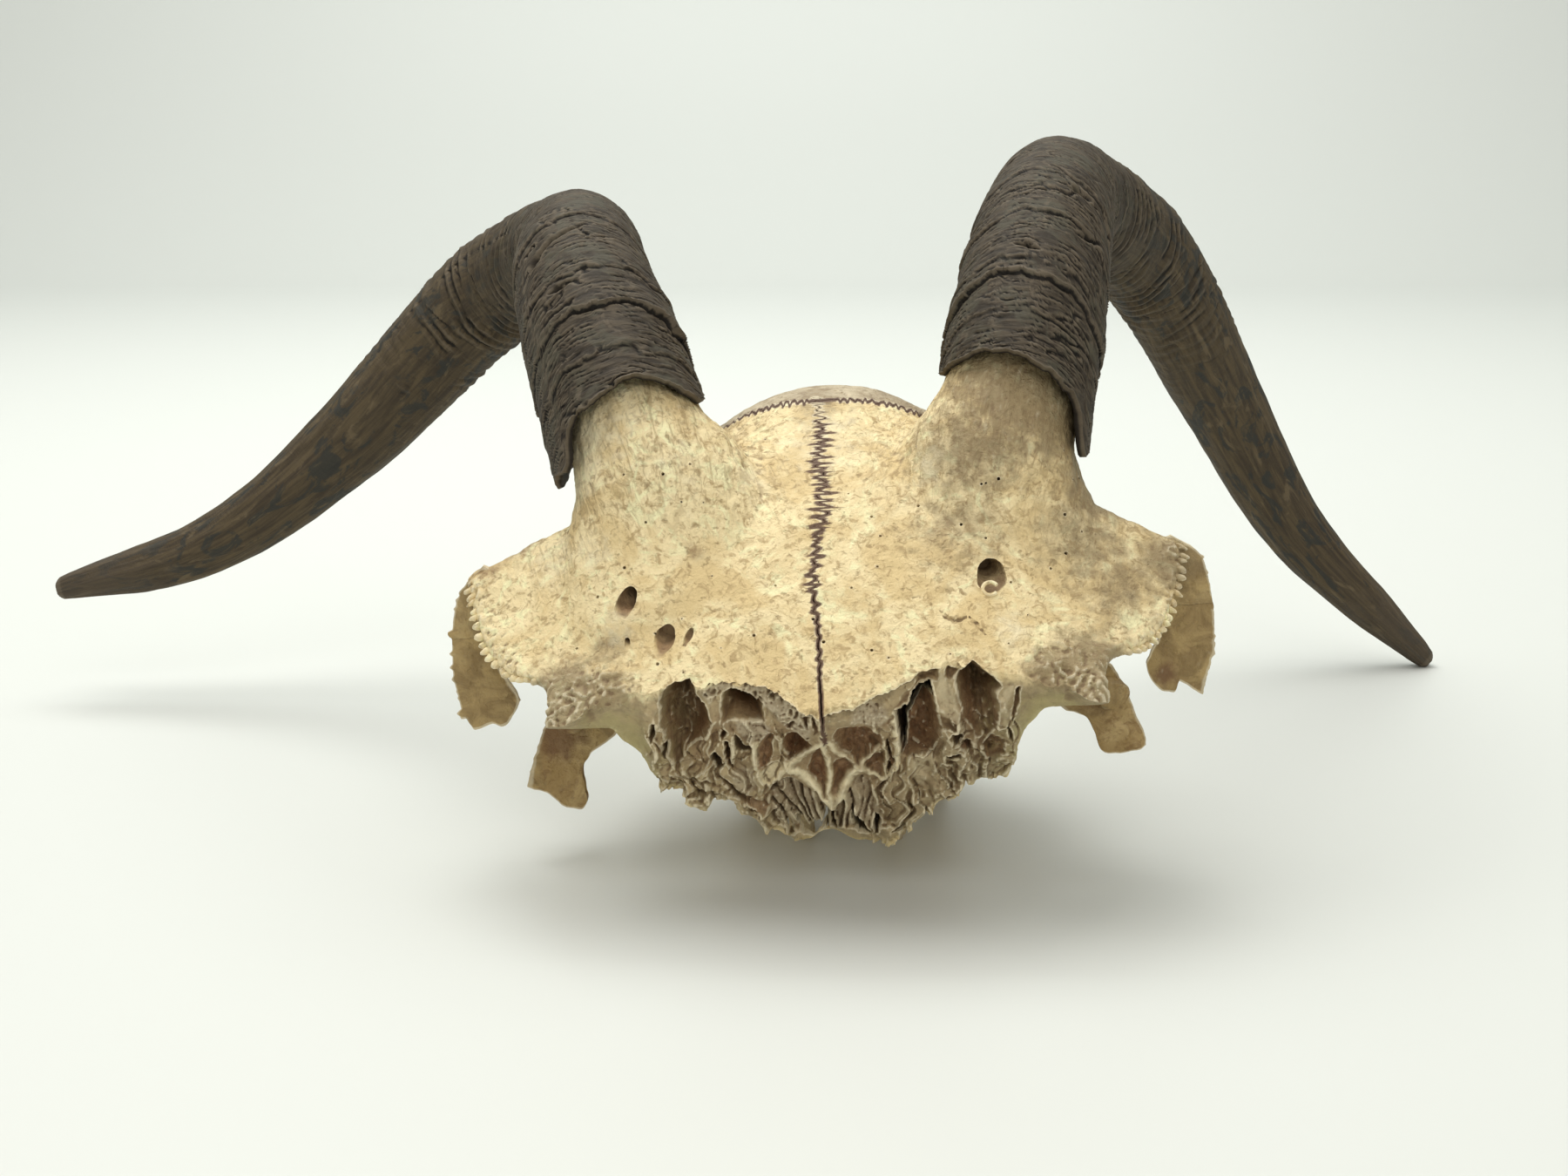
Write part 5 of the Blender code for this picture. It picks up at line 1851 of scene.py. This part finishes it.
    def stain(self, bone: Object, skin: BVHTree) -> None:
        """Stores what the finishes read: stains and painted shade, hollows, depth under the skin, the suture
        and fibres.

        Args:
            bone: the bone.
            skin: the skull's surface before it was cut.
        """
        mesh = bone.data
        points = points_of(mesh)
        side, deep, high = np.abs(points[:, 0]), points[:, 1], points[:, 2]
        bars = rise(55.5, 58, side) * rise(59, 57, high) * rise(12.5, 15, deep)
        for tone in (Tone.GREY, Tone.RUST, Tone.PALE, Tone.OLIVE, Tone.AMBER):
            total = self.soaked(points, tone)
            store(mesh, tone.value, np.maximum(total, bars) if tone is Tone.AMBER else total)
        depth = []
        for place in map(Vector, points):
            spot, normal, _, _ = skin.find_nearest(place)
            depth.append(max(0.0, (spot - place).dot(normal)))
        store(mesh, Tone.DEEP.value, np.array(depth))
        under = rise(0.15, 0.6, np.array(depth))
        for tone in (Tone.ASH, Tone.UMBER, Tone.CREAM, Tone.PAINTED_SHADE):
            total = np.maximum(self.nose.tint(points, tone), self.soaked(points, tone))
            store(mesh, tone.value, under * total)
        at_bar = (side > 54) & (deep > 12) & (np.abs(high - self.bar_top) < 1.3)
        store(mesh, "hollow", np.where(at_bar, 0, hollowness(mesh, 2)))
        slope = (self.midline(deep + 0.05) - self.midline(deep - 0.05)) / 0.1
        aside = (points[:, 0] - self.midline(deep)) / np.sqrt(1 + slope**2)
        seam = np.exp(-((aside / 0.38) ** 2)) * rise(36, 34, deep) * (1 - 0.6 * rise(24, 32, deep))
        arch = np.exp(-(((deep - self.coronal(points[:, 0])) / 0.8) ** 2))
        seam = np.maximum(seam, arch * rise(62, 66, high))
        store(mesh, "seam", seam * rise(floor_height(deep) + 2, floor_height(deep) + 5, high))
        strands = np.zeros_like(points)
        share = np.zeros(len(points))
        for horn in self.horns:
            foot, axis = np.array(horn.line[0], float), horn.axis()
            along = (points - foot) @ axis
            near = np.linalg.norm(points - foot - along[:, None] * axis, axis=1)
            here = points[:, 0] * horn.side > 0
            strands[here] = (points - along[:, None] * axis * 0.82)[here]
            share[here] = (rise(-36, -14, along) * rise(30, 20, near))[here]
        store(mesh, "strands", strands)
        store(mesh, "core", share)

    def soaked(self, points: Array, tone: Tone) -> Array:
        """How strongly the stains of one tone show.

        Args:
            points: rows of x, y, z.
            tone: the tone.

        Returns:
            A strength a row.
        """
        total = np.zeros(len(points))
        for kind, spots in self.stains:
            for *centre, radius, strength in spots if kind is tone else ():
                total = np.maximum(total, strength * swell(points, centre, radius))
        return total


class Shader:
    """Adds and links the nodes of one material."""

    def __init__(self, name: str) -> None:
        """Starts a material that holds a Principled shader."""
        self.material = bpy.data.materials.new(name)
        self.material.use_nodes = True
        self.tree = self.material.node_tree
        self.surface = self.tree.nodes["Principled BSDF"]

    def node(self, kind: str, links: dict, **settings: str) -> bpy.types.Node:
        """Adds a node.

        Args:
            kind: the node's type.
            links: sockets or plain values by the input's name or number.
            settings: the node's own options.

        Returns:
            The node.
        """
        made = self.tree.nodes.new(kind)
        for name, value in settings.items():
            setattr(made, name, value)
        for key, value in links.items():
            if isinstance(value, Socket):
                self.tree.links.new(value, made.inputs[key])
            else:
                made.inputs[key].default_value = value
        return made

    def value(self, name: str) -> Socket:
        """A point attribute's number."""
        return self.node("ShaderNodeAttribute", {}, attribute_name=name).outputs["Fac"]

    def vector(self, name: str) -> Socket:
        """A point attribute's three numbers."""
        return self.node("ShaderNodeAttribute", {}, attribute_name=name).outputs["Vector"]

    def place(self) -> Socket:
        """The place on the object, in millimetres."""
        where = self.node("ShaderNodeTexCoord", {}).outputs["Object"]
        return self.stretch(where, (1000, 1000, 1000))

    def stretch(self, vector: Socket, scale: tuple) -> Socket:
        """The vector scaled along each axis."""
        return self.node("ShaderNodeVectorMath", {0: vector, 1: scale}, operation="MULTIPLY").outputs[0]

    def noise(
        self, vector: Socket, size: float, detail: float = 4, warp: float = 0
    ) -> Socket:
        """Cloudy noise whose swells have the given size."""
        links = {"Vector": vector, "Scale": 1 / size, "Detail": detail, "Roughness": 0.6, "Distortion": warp}
        return self.node("ShaderNodeTexNoise", links).outputs["Fac"]

    def band(
        self, value: Socket, low: float, high: float, top: float = 1.0
    ) -> Socket:
        """A smooth step from 0 at low to top at high."""
        links = {"Value": value, "From Min": low, "From Max": high, "To Min": 0.0, "To Max": top}
        return self.node("ShaderNodeMapRange", links, interpolation_type="SMOOTHSTEP").outputs["Result"]

    def maths(self, operation: str, *values: Input) -> Socket:
        """One sum or product of sockets and numbers."""
        return self.node("ShaderNodeMath", dict(enumerate(values)), operation=operation).outputs[0]

    def times(self, first: Input, second: Input) -> Socket:
        """A product."""
        return self.maths("MULTIPLY", first, second)

    def mix(self, factor: Input, first: Input, second: Input) -> Socket:
        """Two colours blended by a factor.

        Args:
            factor: share of the second colour.
            first: the first colour.
            second: the second colour.

        Returns:
            The blended colour.
        """
        links = {0: factor, 6: first, 7: second}
        links = {key: (*v, 1) if isinstance(v, tuple) else v for key, v in links.items()}
        return self.node("ShaderNodeMix", links, data_type="RGBA").outputs[2]

    def bump(
        self, height: Socket, depth_mm: float, normal: Socket | None = None
    ) -> Socket:
        """A bumped normal.

        Args:
            height: the relief.
            depth_mm: its depth.
            normal: the normal that it is added to.

        Returns:
            The bumped normal.
        """
        links = {"Height": height, "Strength": 1.0, "Distance": depth_mm * MM}
        if normal is not None:
            links["Normal"] = normal
        return self.node("ShaderNodeBump", links).outputs["Normal"]

    def finish(
        self, colour: Socket, roughness: float, specular: float, normal: Socket
    ) -> bpy.types.Material:
        """Feeds the Principled shader.

        Args:
            colour: the base colour.
            roughness: how matt the surface is.
            specular: strength of its gloss.
            normal: the bumped normal.

        Returns:
            The material.
        """
        self.tree.links.new(colour, self.surface.inputs["Base Color"])
        self.tree.links.new(normal, self.surface.inputs["Normal"])
        self.surface.inputs["Roughness"].default_value = roughness
        self.surface.inputs["Specular IOR Level"].default_value = specular
        return self.material


@dataclass(frozen=True)
class BoneFinish:
    """Dry, stained bone; the colours are linear."""

    name: str
    slot: str
    light: tuple
    main: tuple
    mottle: tuple
    broken: tuple = (0.47, 0.365, 0.205)
    # stained inner bone and painted shade, deep inside the skull
    deep: tuple = (0.22, 0.12, 0.055)
    roughness: float = 0.62
    fleck: tuple = (0.33, 0.23, 0.11)
    amber: tuple = ((0.42, 0.30, 0.13), (0.24, 0.16, 0.065))
    ash: tuple = ((0.66, 0.57, 0.42), (0.34, 0.27, 0.17))
    umber: tuple = ((0.38, 0.22, 0.11), (0.14, 0.055, 0.024))
    grey: tuple = (0.235, 0.172, 0.092)
    rust: tuple = (0.17, 0.085, 0.040)
    pale: tuple = (0.86, 0.77, 0.53)
    cream: tuple = (0.86, 0.75, 0.50)
    # painted shade: near black for gaps and pits, and a darkening on the nose's side
    dark: tuple = (0.010, 0.007, 0.005)
    olive: tuple = (0.40, 0.34, 0.16)
    # painted shade in grooves and hollows
    painted_groove_shade: tuple = (0.20, 0.13, 0.07)
    # painted highlight on crests and raised points
    crest: tuple = (0.86, 0.78, 0.58)
    # painted highlight on raised edges of the broken bone
    painted_edge_highlight: tuple = (0.82, 0.72, 0.50)
    suture: tuple = (0.09, 0.036, 0.022)

    def build(self) -> bpy.types.Material:
        """Mottles, flecks and stains, then the brown depths with painted shade deep inside, painted shade in
        grooves and gaps, the cream crests, painted highlights on raised edges, and the suture.

        Returns:
            The material.
        """
        s = Shader(self.name)
        place = s.place()
        clouds = s.noise(place, 13.0, 6, 0.8)
        grain = s.noise(place, 2.0, 5, 1.2)
        colour = s.mix(s.band(clouds, 0.42, 0.62), self.light, self.main)
        colour = s.mix(s.band(grain, 0.49, 0.66, 0.8), colour, self.mottle)
        lighter = s.band(s.noise(place, 5.0, 6, 1.5), 0.50, 0.62)
        lighter = s.times(lighter, s.band(clouds, 0.56, 0.44, 0.6))
        colour = s.mix(lighter, colour, tuple(min(0.92, 1.22 * c + 0.04) for c in self.light))
        strands = s.noise(s.vector("strands"), 2.0, 6, 2.2)
        streaks = s.times(s.band(strands, 0.48, 0.60, 0.55), s.value("core"))
        colour = s.mix(streaks, colour, tuple(0.8 * c for c in self.mottle))
        flecks = s.noise(place, 1.5, 2, 0.2)
        patchy = s.band(flecks, 0.58, 0.70, 0.65)
        patchy = s.times(patchy, s.band(s.noise(place, 6.0, 3), 0.44, 0.58))
        colour = s.mix(patchy, colour, self.fleck)
        thin = s.mix(s.band(s.noise(place, 5.5, 5, 1.0), 0.36, 0.62), *self.amber)
        colour = s.mix(self.share(s, place, "amber", 0.9), colour, thin)
        stains = (("grey", self.grey, 0.8), ("rust", self.rust, 0.75), ("pale", self.pale, 0.7))
        for name, tint, strength in stains:
            colour = s.mix(self.share(s, place, name, strength), colour, tint)
        under = s.value("deep")
        torn = s.band(s.noise(place, 2.2, 5), 0.35, 0.65)
        torn = s.mix(torn, self.broken, tuple(0.7 * c for c in self.broken))
        colour = s.mix(s.band(under, 0.25, 1.2), colour, torn)
        # Darker brown deep inside the skull: stained inner bone and painted shade.
        inner = s.maths("ADD", under, s.times(s.noise(place, 3.5, 4), 5.0))
        colour = s.mix(s.band(inner, 4.5, 12.0, 0.9), colour, self.deep)
        mottle = s.noise(place, 1.6, 4, 0.5)
        colour = s.mix(s.times(s.value("ash"), 0.8), colour, s.mix(mottle, *self.ash))
        umber = s.mix(s.band(mottle, 0.35, 0.65), *self.umber)
        colour = s.mix(s.times(s.value("umber"), 0.85), colour, umber)
        colour = s.mix(s.times(s.value("cream"), 0.95), colour, self.cream)
        # Painted shade: black in the break's deep gaps and pits, and darker over the nose's left side.
        colour = s.mix(s.value("dark"), colour, self.dark)
        colour = s.mix(self.share(s, place, "olive", 0.85), colour, self.olive)
        hollow = s.value("hollow")
        # Painted shade: grooves and hollows darkened by how sunk they are.
        colour = s.mix(s.band(hollow, 0.004, 0.05, 0.75), colour, self.painted_groove_shade)
        proud = s.times(hollow, -1.0)
        # Painted highlight: crests and raised points lightened.
        colour = s.mix(s.band(proud, 0.01, 0.07, 0.5), colour, self.crest)
        # Painted highlight, in patches: raised edges of the broken bone lightened further.
        wear_and_highlight = s.times(s.band(proud, 0.012, 0.08, 0.7), s.band(under, 0.2, 0.6))
        wear_and_highlight = s.times(wear_and_highlight, s.band(s.noise(place, 3.0, 3), 0.40, 0.62))
        colour = s.mix(wear_and_highlight, colour, self.painted_edge_highlight)
        colour = s.mix(s.band(s.value("seam"), 0.12, 0.6, 0.92), colour, self.suture)
        fine = s.bump(s.noise(place, 0.5, 4), 0.16)
        normal = s.bump(grain, 0.24, fine)
        normal = s.bump(s.noise(place, 4.0, 4), 0.30, normal)
        normal = s.bump(s.band(flecks, 0.70, 0.56), 0.10, normal)
        normal = s.bump(s.times(strands, s.value("core")), 0.28, normal)
        return s.finish(colour, self.roughness, 0.32, normal)

    @staticmethod
    def share(s: Shader, place: Socket, name: str, strength: float) -> Socket:
        """How much of a stain shows, with a wandering edge."""
        wander = s.maths("MULTIPLY_ADD", s.maths("SUBTRACT", s.noise(place, 2.6, 5), 0.5), 1.1, s.value(name))
        return s.times(s.band(wander, 0.25, 0.85, strength), s.band(s.value(name), 0.02, 0.25))


@dataclass(frozen=True)
class HornFinish:
    """Dry, ringed horn: grey-brown and fibrous near the skull, olive and blotched towards the tip."""

    name: str = "dry_horn"
    slot: str = "horn"
    near_dark: tuple = (0.030, 0.023, 0.016)
    near_light: tuple = (0.086, 0.067, 0.045)
    near_olive: tuple = (0.072, 0.067, 0.047)
    near_scuff: tuple = (0.125, 0.099, 0.069)
    far_dark: tuple = (0.048, 0.036, 0.023)
    far_light: tuple = (0.100, 0.074, 0.040)
    far_blotch: tuple = (0.030, 0.033, 0.030)
    far_scuff: tuple = (0.155, 0.118, 0.068)
    tip: tuple = (0.080, 0.063, 0.045)
    # painted shade in grooves and cracks
    groove: tuple = (0.010, 0.008, 0.006)
    # painted highlight on raised rings and ledges
    crest: tuple = (0.17, 0.138, 0.098)
    # painted shade inside the mouth and in deep slits
    inside: tuple = (0.010, 0.008, 0.007)

    def build(self) -> bpy.types.Material:
        """Rings and fibres near the skull and blotches beyond, laid out along the straightened horn, with
        painted shade in grooves, slits and the mouth, and painted highlights on raised rings and ledges.

        Returns:
            The material.
        """
        s = Shader(self.name)
        straight = s.vector("straight")
        along = s.value("along")
        rings = s.noise(s.stretch(straight, (1, 0.24, 0.24)), 1.2, 5, 0.7)
        strands = s.noise(s.stretch(straight, (0.14, 1, 1)), 1.6, 5, 0.5)
        clouds = s.noise(straight, 6.5, 5, 0.9)
        near = s.mix(s.band(rings, 0.36, 0.68), self.near_dark, self.near_light)
        near = s.mix(s.band(clouds, 0.48, 0.62, 0.7), near, self.near_olive)
        near = s.mix(s.band(s.noise(straight, 3.4, 5, 0.6), 0.56, 0.68, 0.6), near, self.near_scuff)
        far = s.mix(s.band(strands, 0.32, 0.70), self.far_dark, self.far_light)
        blotches = s.noise(s.stretch(straight, (0.75, 1, 1)), 9.0, 6, 1.6)
        far = s.mix(s.band(blotches, 0.53, 0.59, 0.8), far, self.far_blotch)
        scuffs = s.noise(s.stretch(straight, (0.5, 1, 1)), 7.0, 6, 1.2)
        far = s.mix(s.band(scuffs, 0.56, 0.68, 0.65), far, self.far_scuff)
        fade = s.maths("ADD", along, s.times(s.maths("SUBTRACT", clouds, 0.5), 0.25))
        colour = s.mix(s.band(fade, 0.32, 0.56), near, far)
        colour = s.mix(s.band(fade, 0.86, 0.97, 0.6), colour, self.tip)
        hollow = s.value("hollow")
        # Painted shade: grooves and cracks darkened by how sunk they are.
        colour = s.mix(s.band(hollow, 0.003, 0.045, 0.95), colour, self.groove)
        proud = s.times(hollow, -1.0)
        # Painted highlight: raised rings and ledges lightened.
        colour = s.mix(s.band(proud, 0.008, 0.06, 0.55), colour, self.crest)
        sunk = s.times(s.value("lift"), -1.0)
        # Painted shade: near black inside the sheath's mouth and in deep slits.
        colour = s.mix(s.band(sunk, 0.7, 1.8, 0.9), colour, self.inside)
        fibre = s.bump(s.noise(s.stretch(straight, (1, 0.2, 0.2)), 0.5, 4), 0.14)
        normal = s.bump(rings, 0.25, fibre)
        return s.finish(colour, 0.72, 0.25, normal)


@dataclass
class Studio:
    """The pale floor, the soft light and the camera."""

    camera_place: tuple = (0.00420, -0.45001, 0.13549)
    pitch_deg: float = 12.0
    floor_colour: tuple = (0.685, 0.71, 0.69)

    def build(self) -> None:
        """Sets up the floor, lights, world and camera."""
        self.stage()
        self.light("key", (-0.25, 0.15, 1.15), 1.1, 12.5, (1.0, 0.98, 0.93))
        self.light("front", (0.15, -1.1, 0.75), 0.9, 4.5, (1.0, 0.98, 0.94))
        self.light("backdrop", (0.0, 0.95, 1.5), 1.4, 16.0, (0.97, 1.0, 0.97), (0.0, 1.75, 0.2))
        world = bpy.data.worlds.new("studio")
        world.use_nodes = True
        world.node_tree.nodes["Background"].inputs["Color"].default_value = (1.0, 0.97, 0.88, 1)
        world.node_tree.nodes["Background"].inputs["Strength"].default_value = 0.40
        bpy.context.scene.world = world
        bpy.context.scene.view_settings.view_transform = "Standard"
        camera = bpy.data.cameras.new("camera")
        camera.lens = 50
        camera.sensor_width = 36
        camera.clip_start = 0.01
        holder = linked("camera", camera)
        holder.location = self.camera_place
        holder.rotation_euler = (math.radians(90 - self.pitch_deg), 0, 0)
        bpy.context.scene.camera = holder

    def stage(self) -> None:
        """A floor that sweeps up into a wall behind."""
        half, depth, radius = 4.0, 1.9, 0.5
        turn = np.linspace(0, math.pi / 2, 24)
        bend = ((depth - radius + radius * math.sin(t), radius - radius * math.cos(t)) for t in turn)
        profile = [(-3.0, 0.0), *bend, (depth, 4.0)]
        rows = np.array([[(x, y, z) for x in (-half, half)] for y, z in profile])
        mesh = bpy.data.meshes.new("sweep")
        mesh.from_pydata(rows.reshape(-1, 3).tolist(), [], grid_faces(len(profile), 2))
        sweep = linked("sweep", mesh)
        mesh.shade_smooth()
        shader = Shader("pale_floor")
        shader.surface.inputs["Base Color"].default_value = (*self.floor_colour, 1)
        shader.surface.inputs["Roughness"].default_value = 0.45
        mesh.materials.append(shader.material)

    @staticmethod
    def light(
        name: str, place: tuple, size: float, power: float, colour: tuple, aim: tuple = (0, 0, 0.06)
    ) -> None:
        """A square soft light.

        Args:
            name: the light's name.
            place: where it hangs, in metres.
            size: length of its side, in metres.
            power: its power in watts.
            colour: its colour.
            aim: the place that it faces, in metres.
        """
        lamp = bpy.data.lights.new(name, "AREA")
        lamp.size = size
        lamp.energy = power
        lamp.color = colour
        holder = linked(name, lamp)
        holder.location = place
        holder.rotation_euler = (Vector(aim) - Vector(place)).to_track_quat("-Z", "Y").to_euler()


FOREHEAD = BoneFinish(
    "forehead_bone", "forehead_bone", (0.86, 0.72, 0.43), (0.71, 0.55, 0.285), (0.42, 0.295, 0.14)
)
DOME = BoneFinish("dome_bone", "dome_bone", (0.54, 0.46, 0.32), (0.40, 0.32, 0.21), (0.28, 0.21, 0.13))
BASE = BoneFinish("base_bone", "base_bone", (0.66, 0.55, 0.35), (0.53, 0.41, 0.23), (0.37, 0.26, 0.14))
BROKEN = BoneFinish("broken_bone", "broken_bone", (0.66, 0.54, 0.30), (0.54, 0.43, 0.21), (0.38, 0.28, 0.13))
AMBER = BoneFinish(
    "amber_bone",
    "amber_bone",
    (0.48, 0.35, 0.16), (0.37, 0.25, 0.10), (0.25, 0.15, 0.06),
    broken=(0.40, 0.27, 0.11),
    roughness=0.5,
)

FINISH_OF = {
    "frontal_left": FOREHEAD,
    "frontal_right": FOREHEAD,
    "parietal": DOME,
    "occipital": BASE,
    "sphenoid": BASE,
    "ethmoid": BROKEN,
    "temporal_left": AMBER,
    "temporal_right": AMBER,
    "postorbital_bar_left": AMBER,
    "postorbital_bar_right": AMBER,
}


def dress(piece: Object, node: str, material: bpy.types.Material, rest: Rest) -> None:
    """Lays a piece to rest, smooths its shading and puts it in its node's place.

    Args:
        piece: the piece.
        node: the CAD node that it stands for.
        material: its finish.
        rest: the resting pose.
    """
    rest.lay(piece)
    piece.data.materials.clear()
    piece.data.materials.append(material)
    piece.data.shade_smooth()
    piece.data.set_sharp_from_angle(angle=math.radians(52))
    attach(piece, BODY)
    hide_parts(node)
    LOG.info("%s: %d points", piece.name, len(piece.data.vertices))


def main() -> None:
    """Builds every piece in order and reports it."""
    logging.basicConfig(level=logging.INFO, format="%(relativeCreated)d ms %(name)s %(message)s")
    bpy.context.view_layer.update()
    rest = Rest()
    Studio().build()
    materials = {finish: finish.build() for finish in dict.fromkeys(FINISH_OF.values())}
    horn_finish = HornFinish()
    horn_material = horn_finish.build()
    for horn, node in ((LEFT_HORN, "horn_sheath_left"), (RIGHT_HORN, "horn_sheath_right")):
        dress(horn.build(), node, horn_material, rest)
    bones = Cranium(Forehead(), NasalBreak(), (LEFT_HORN, RIGHT_HORN)).build()
    for node, bone in bones.items():
        finish = FINISH_OF[node]
        dress(bone, node, materials[finish], rest)
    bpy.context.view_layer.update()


if __name__ == "__main__":
    main()
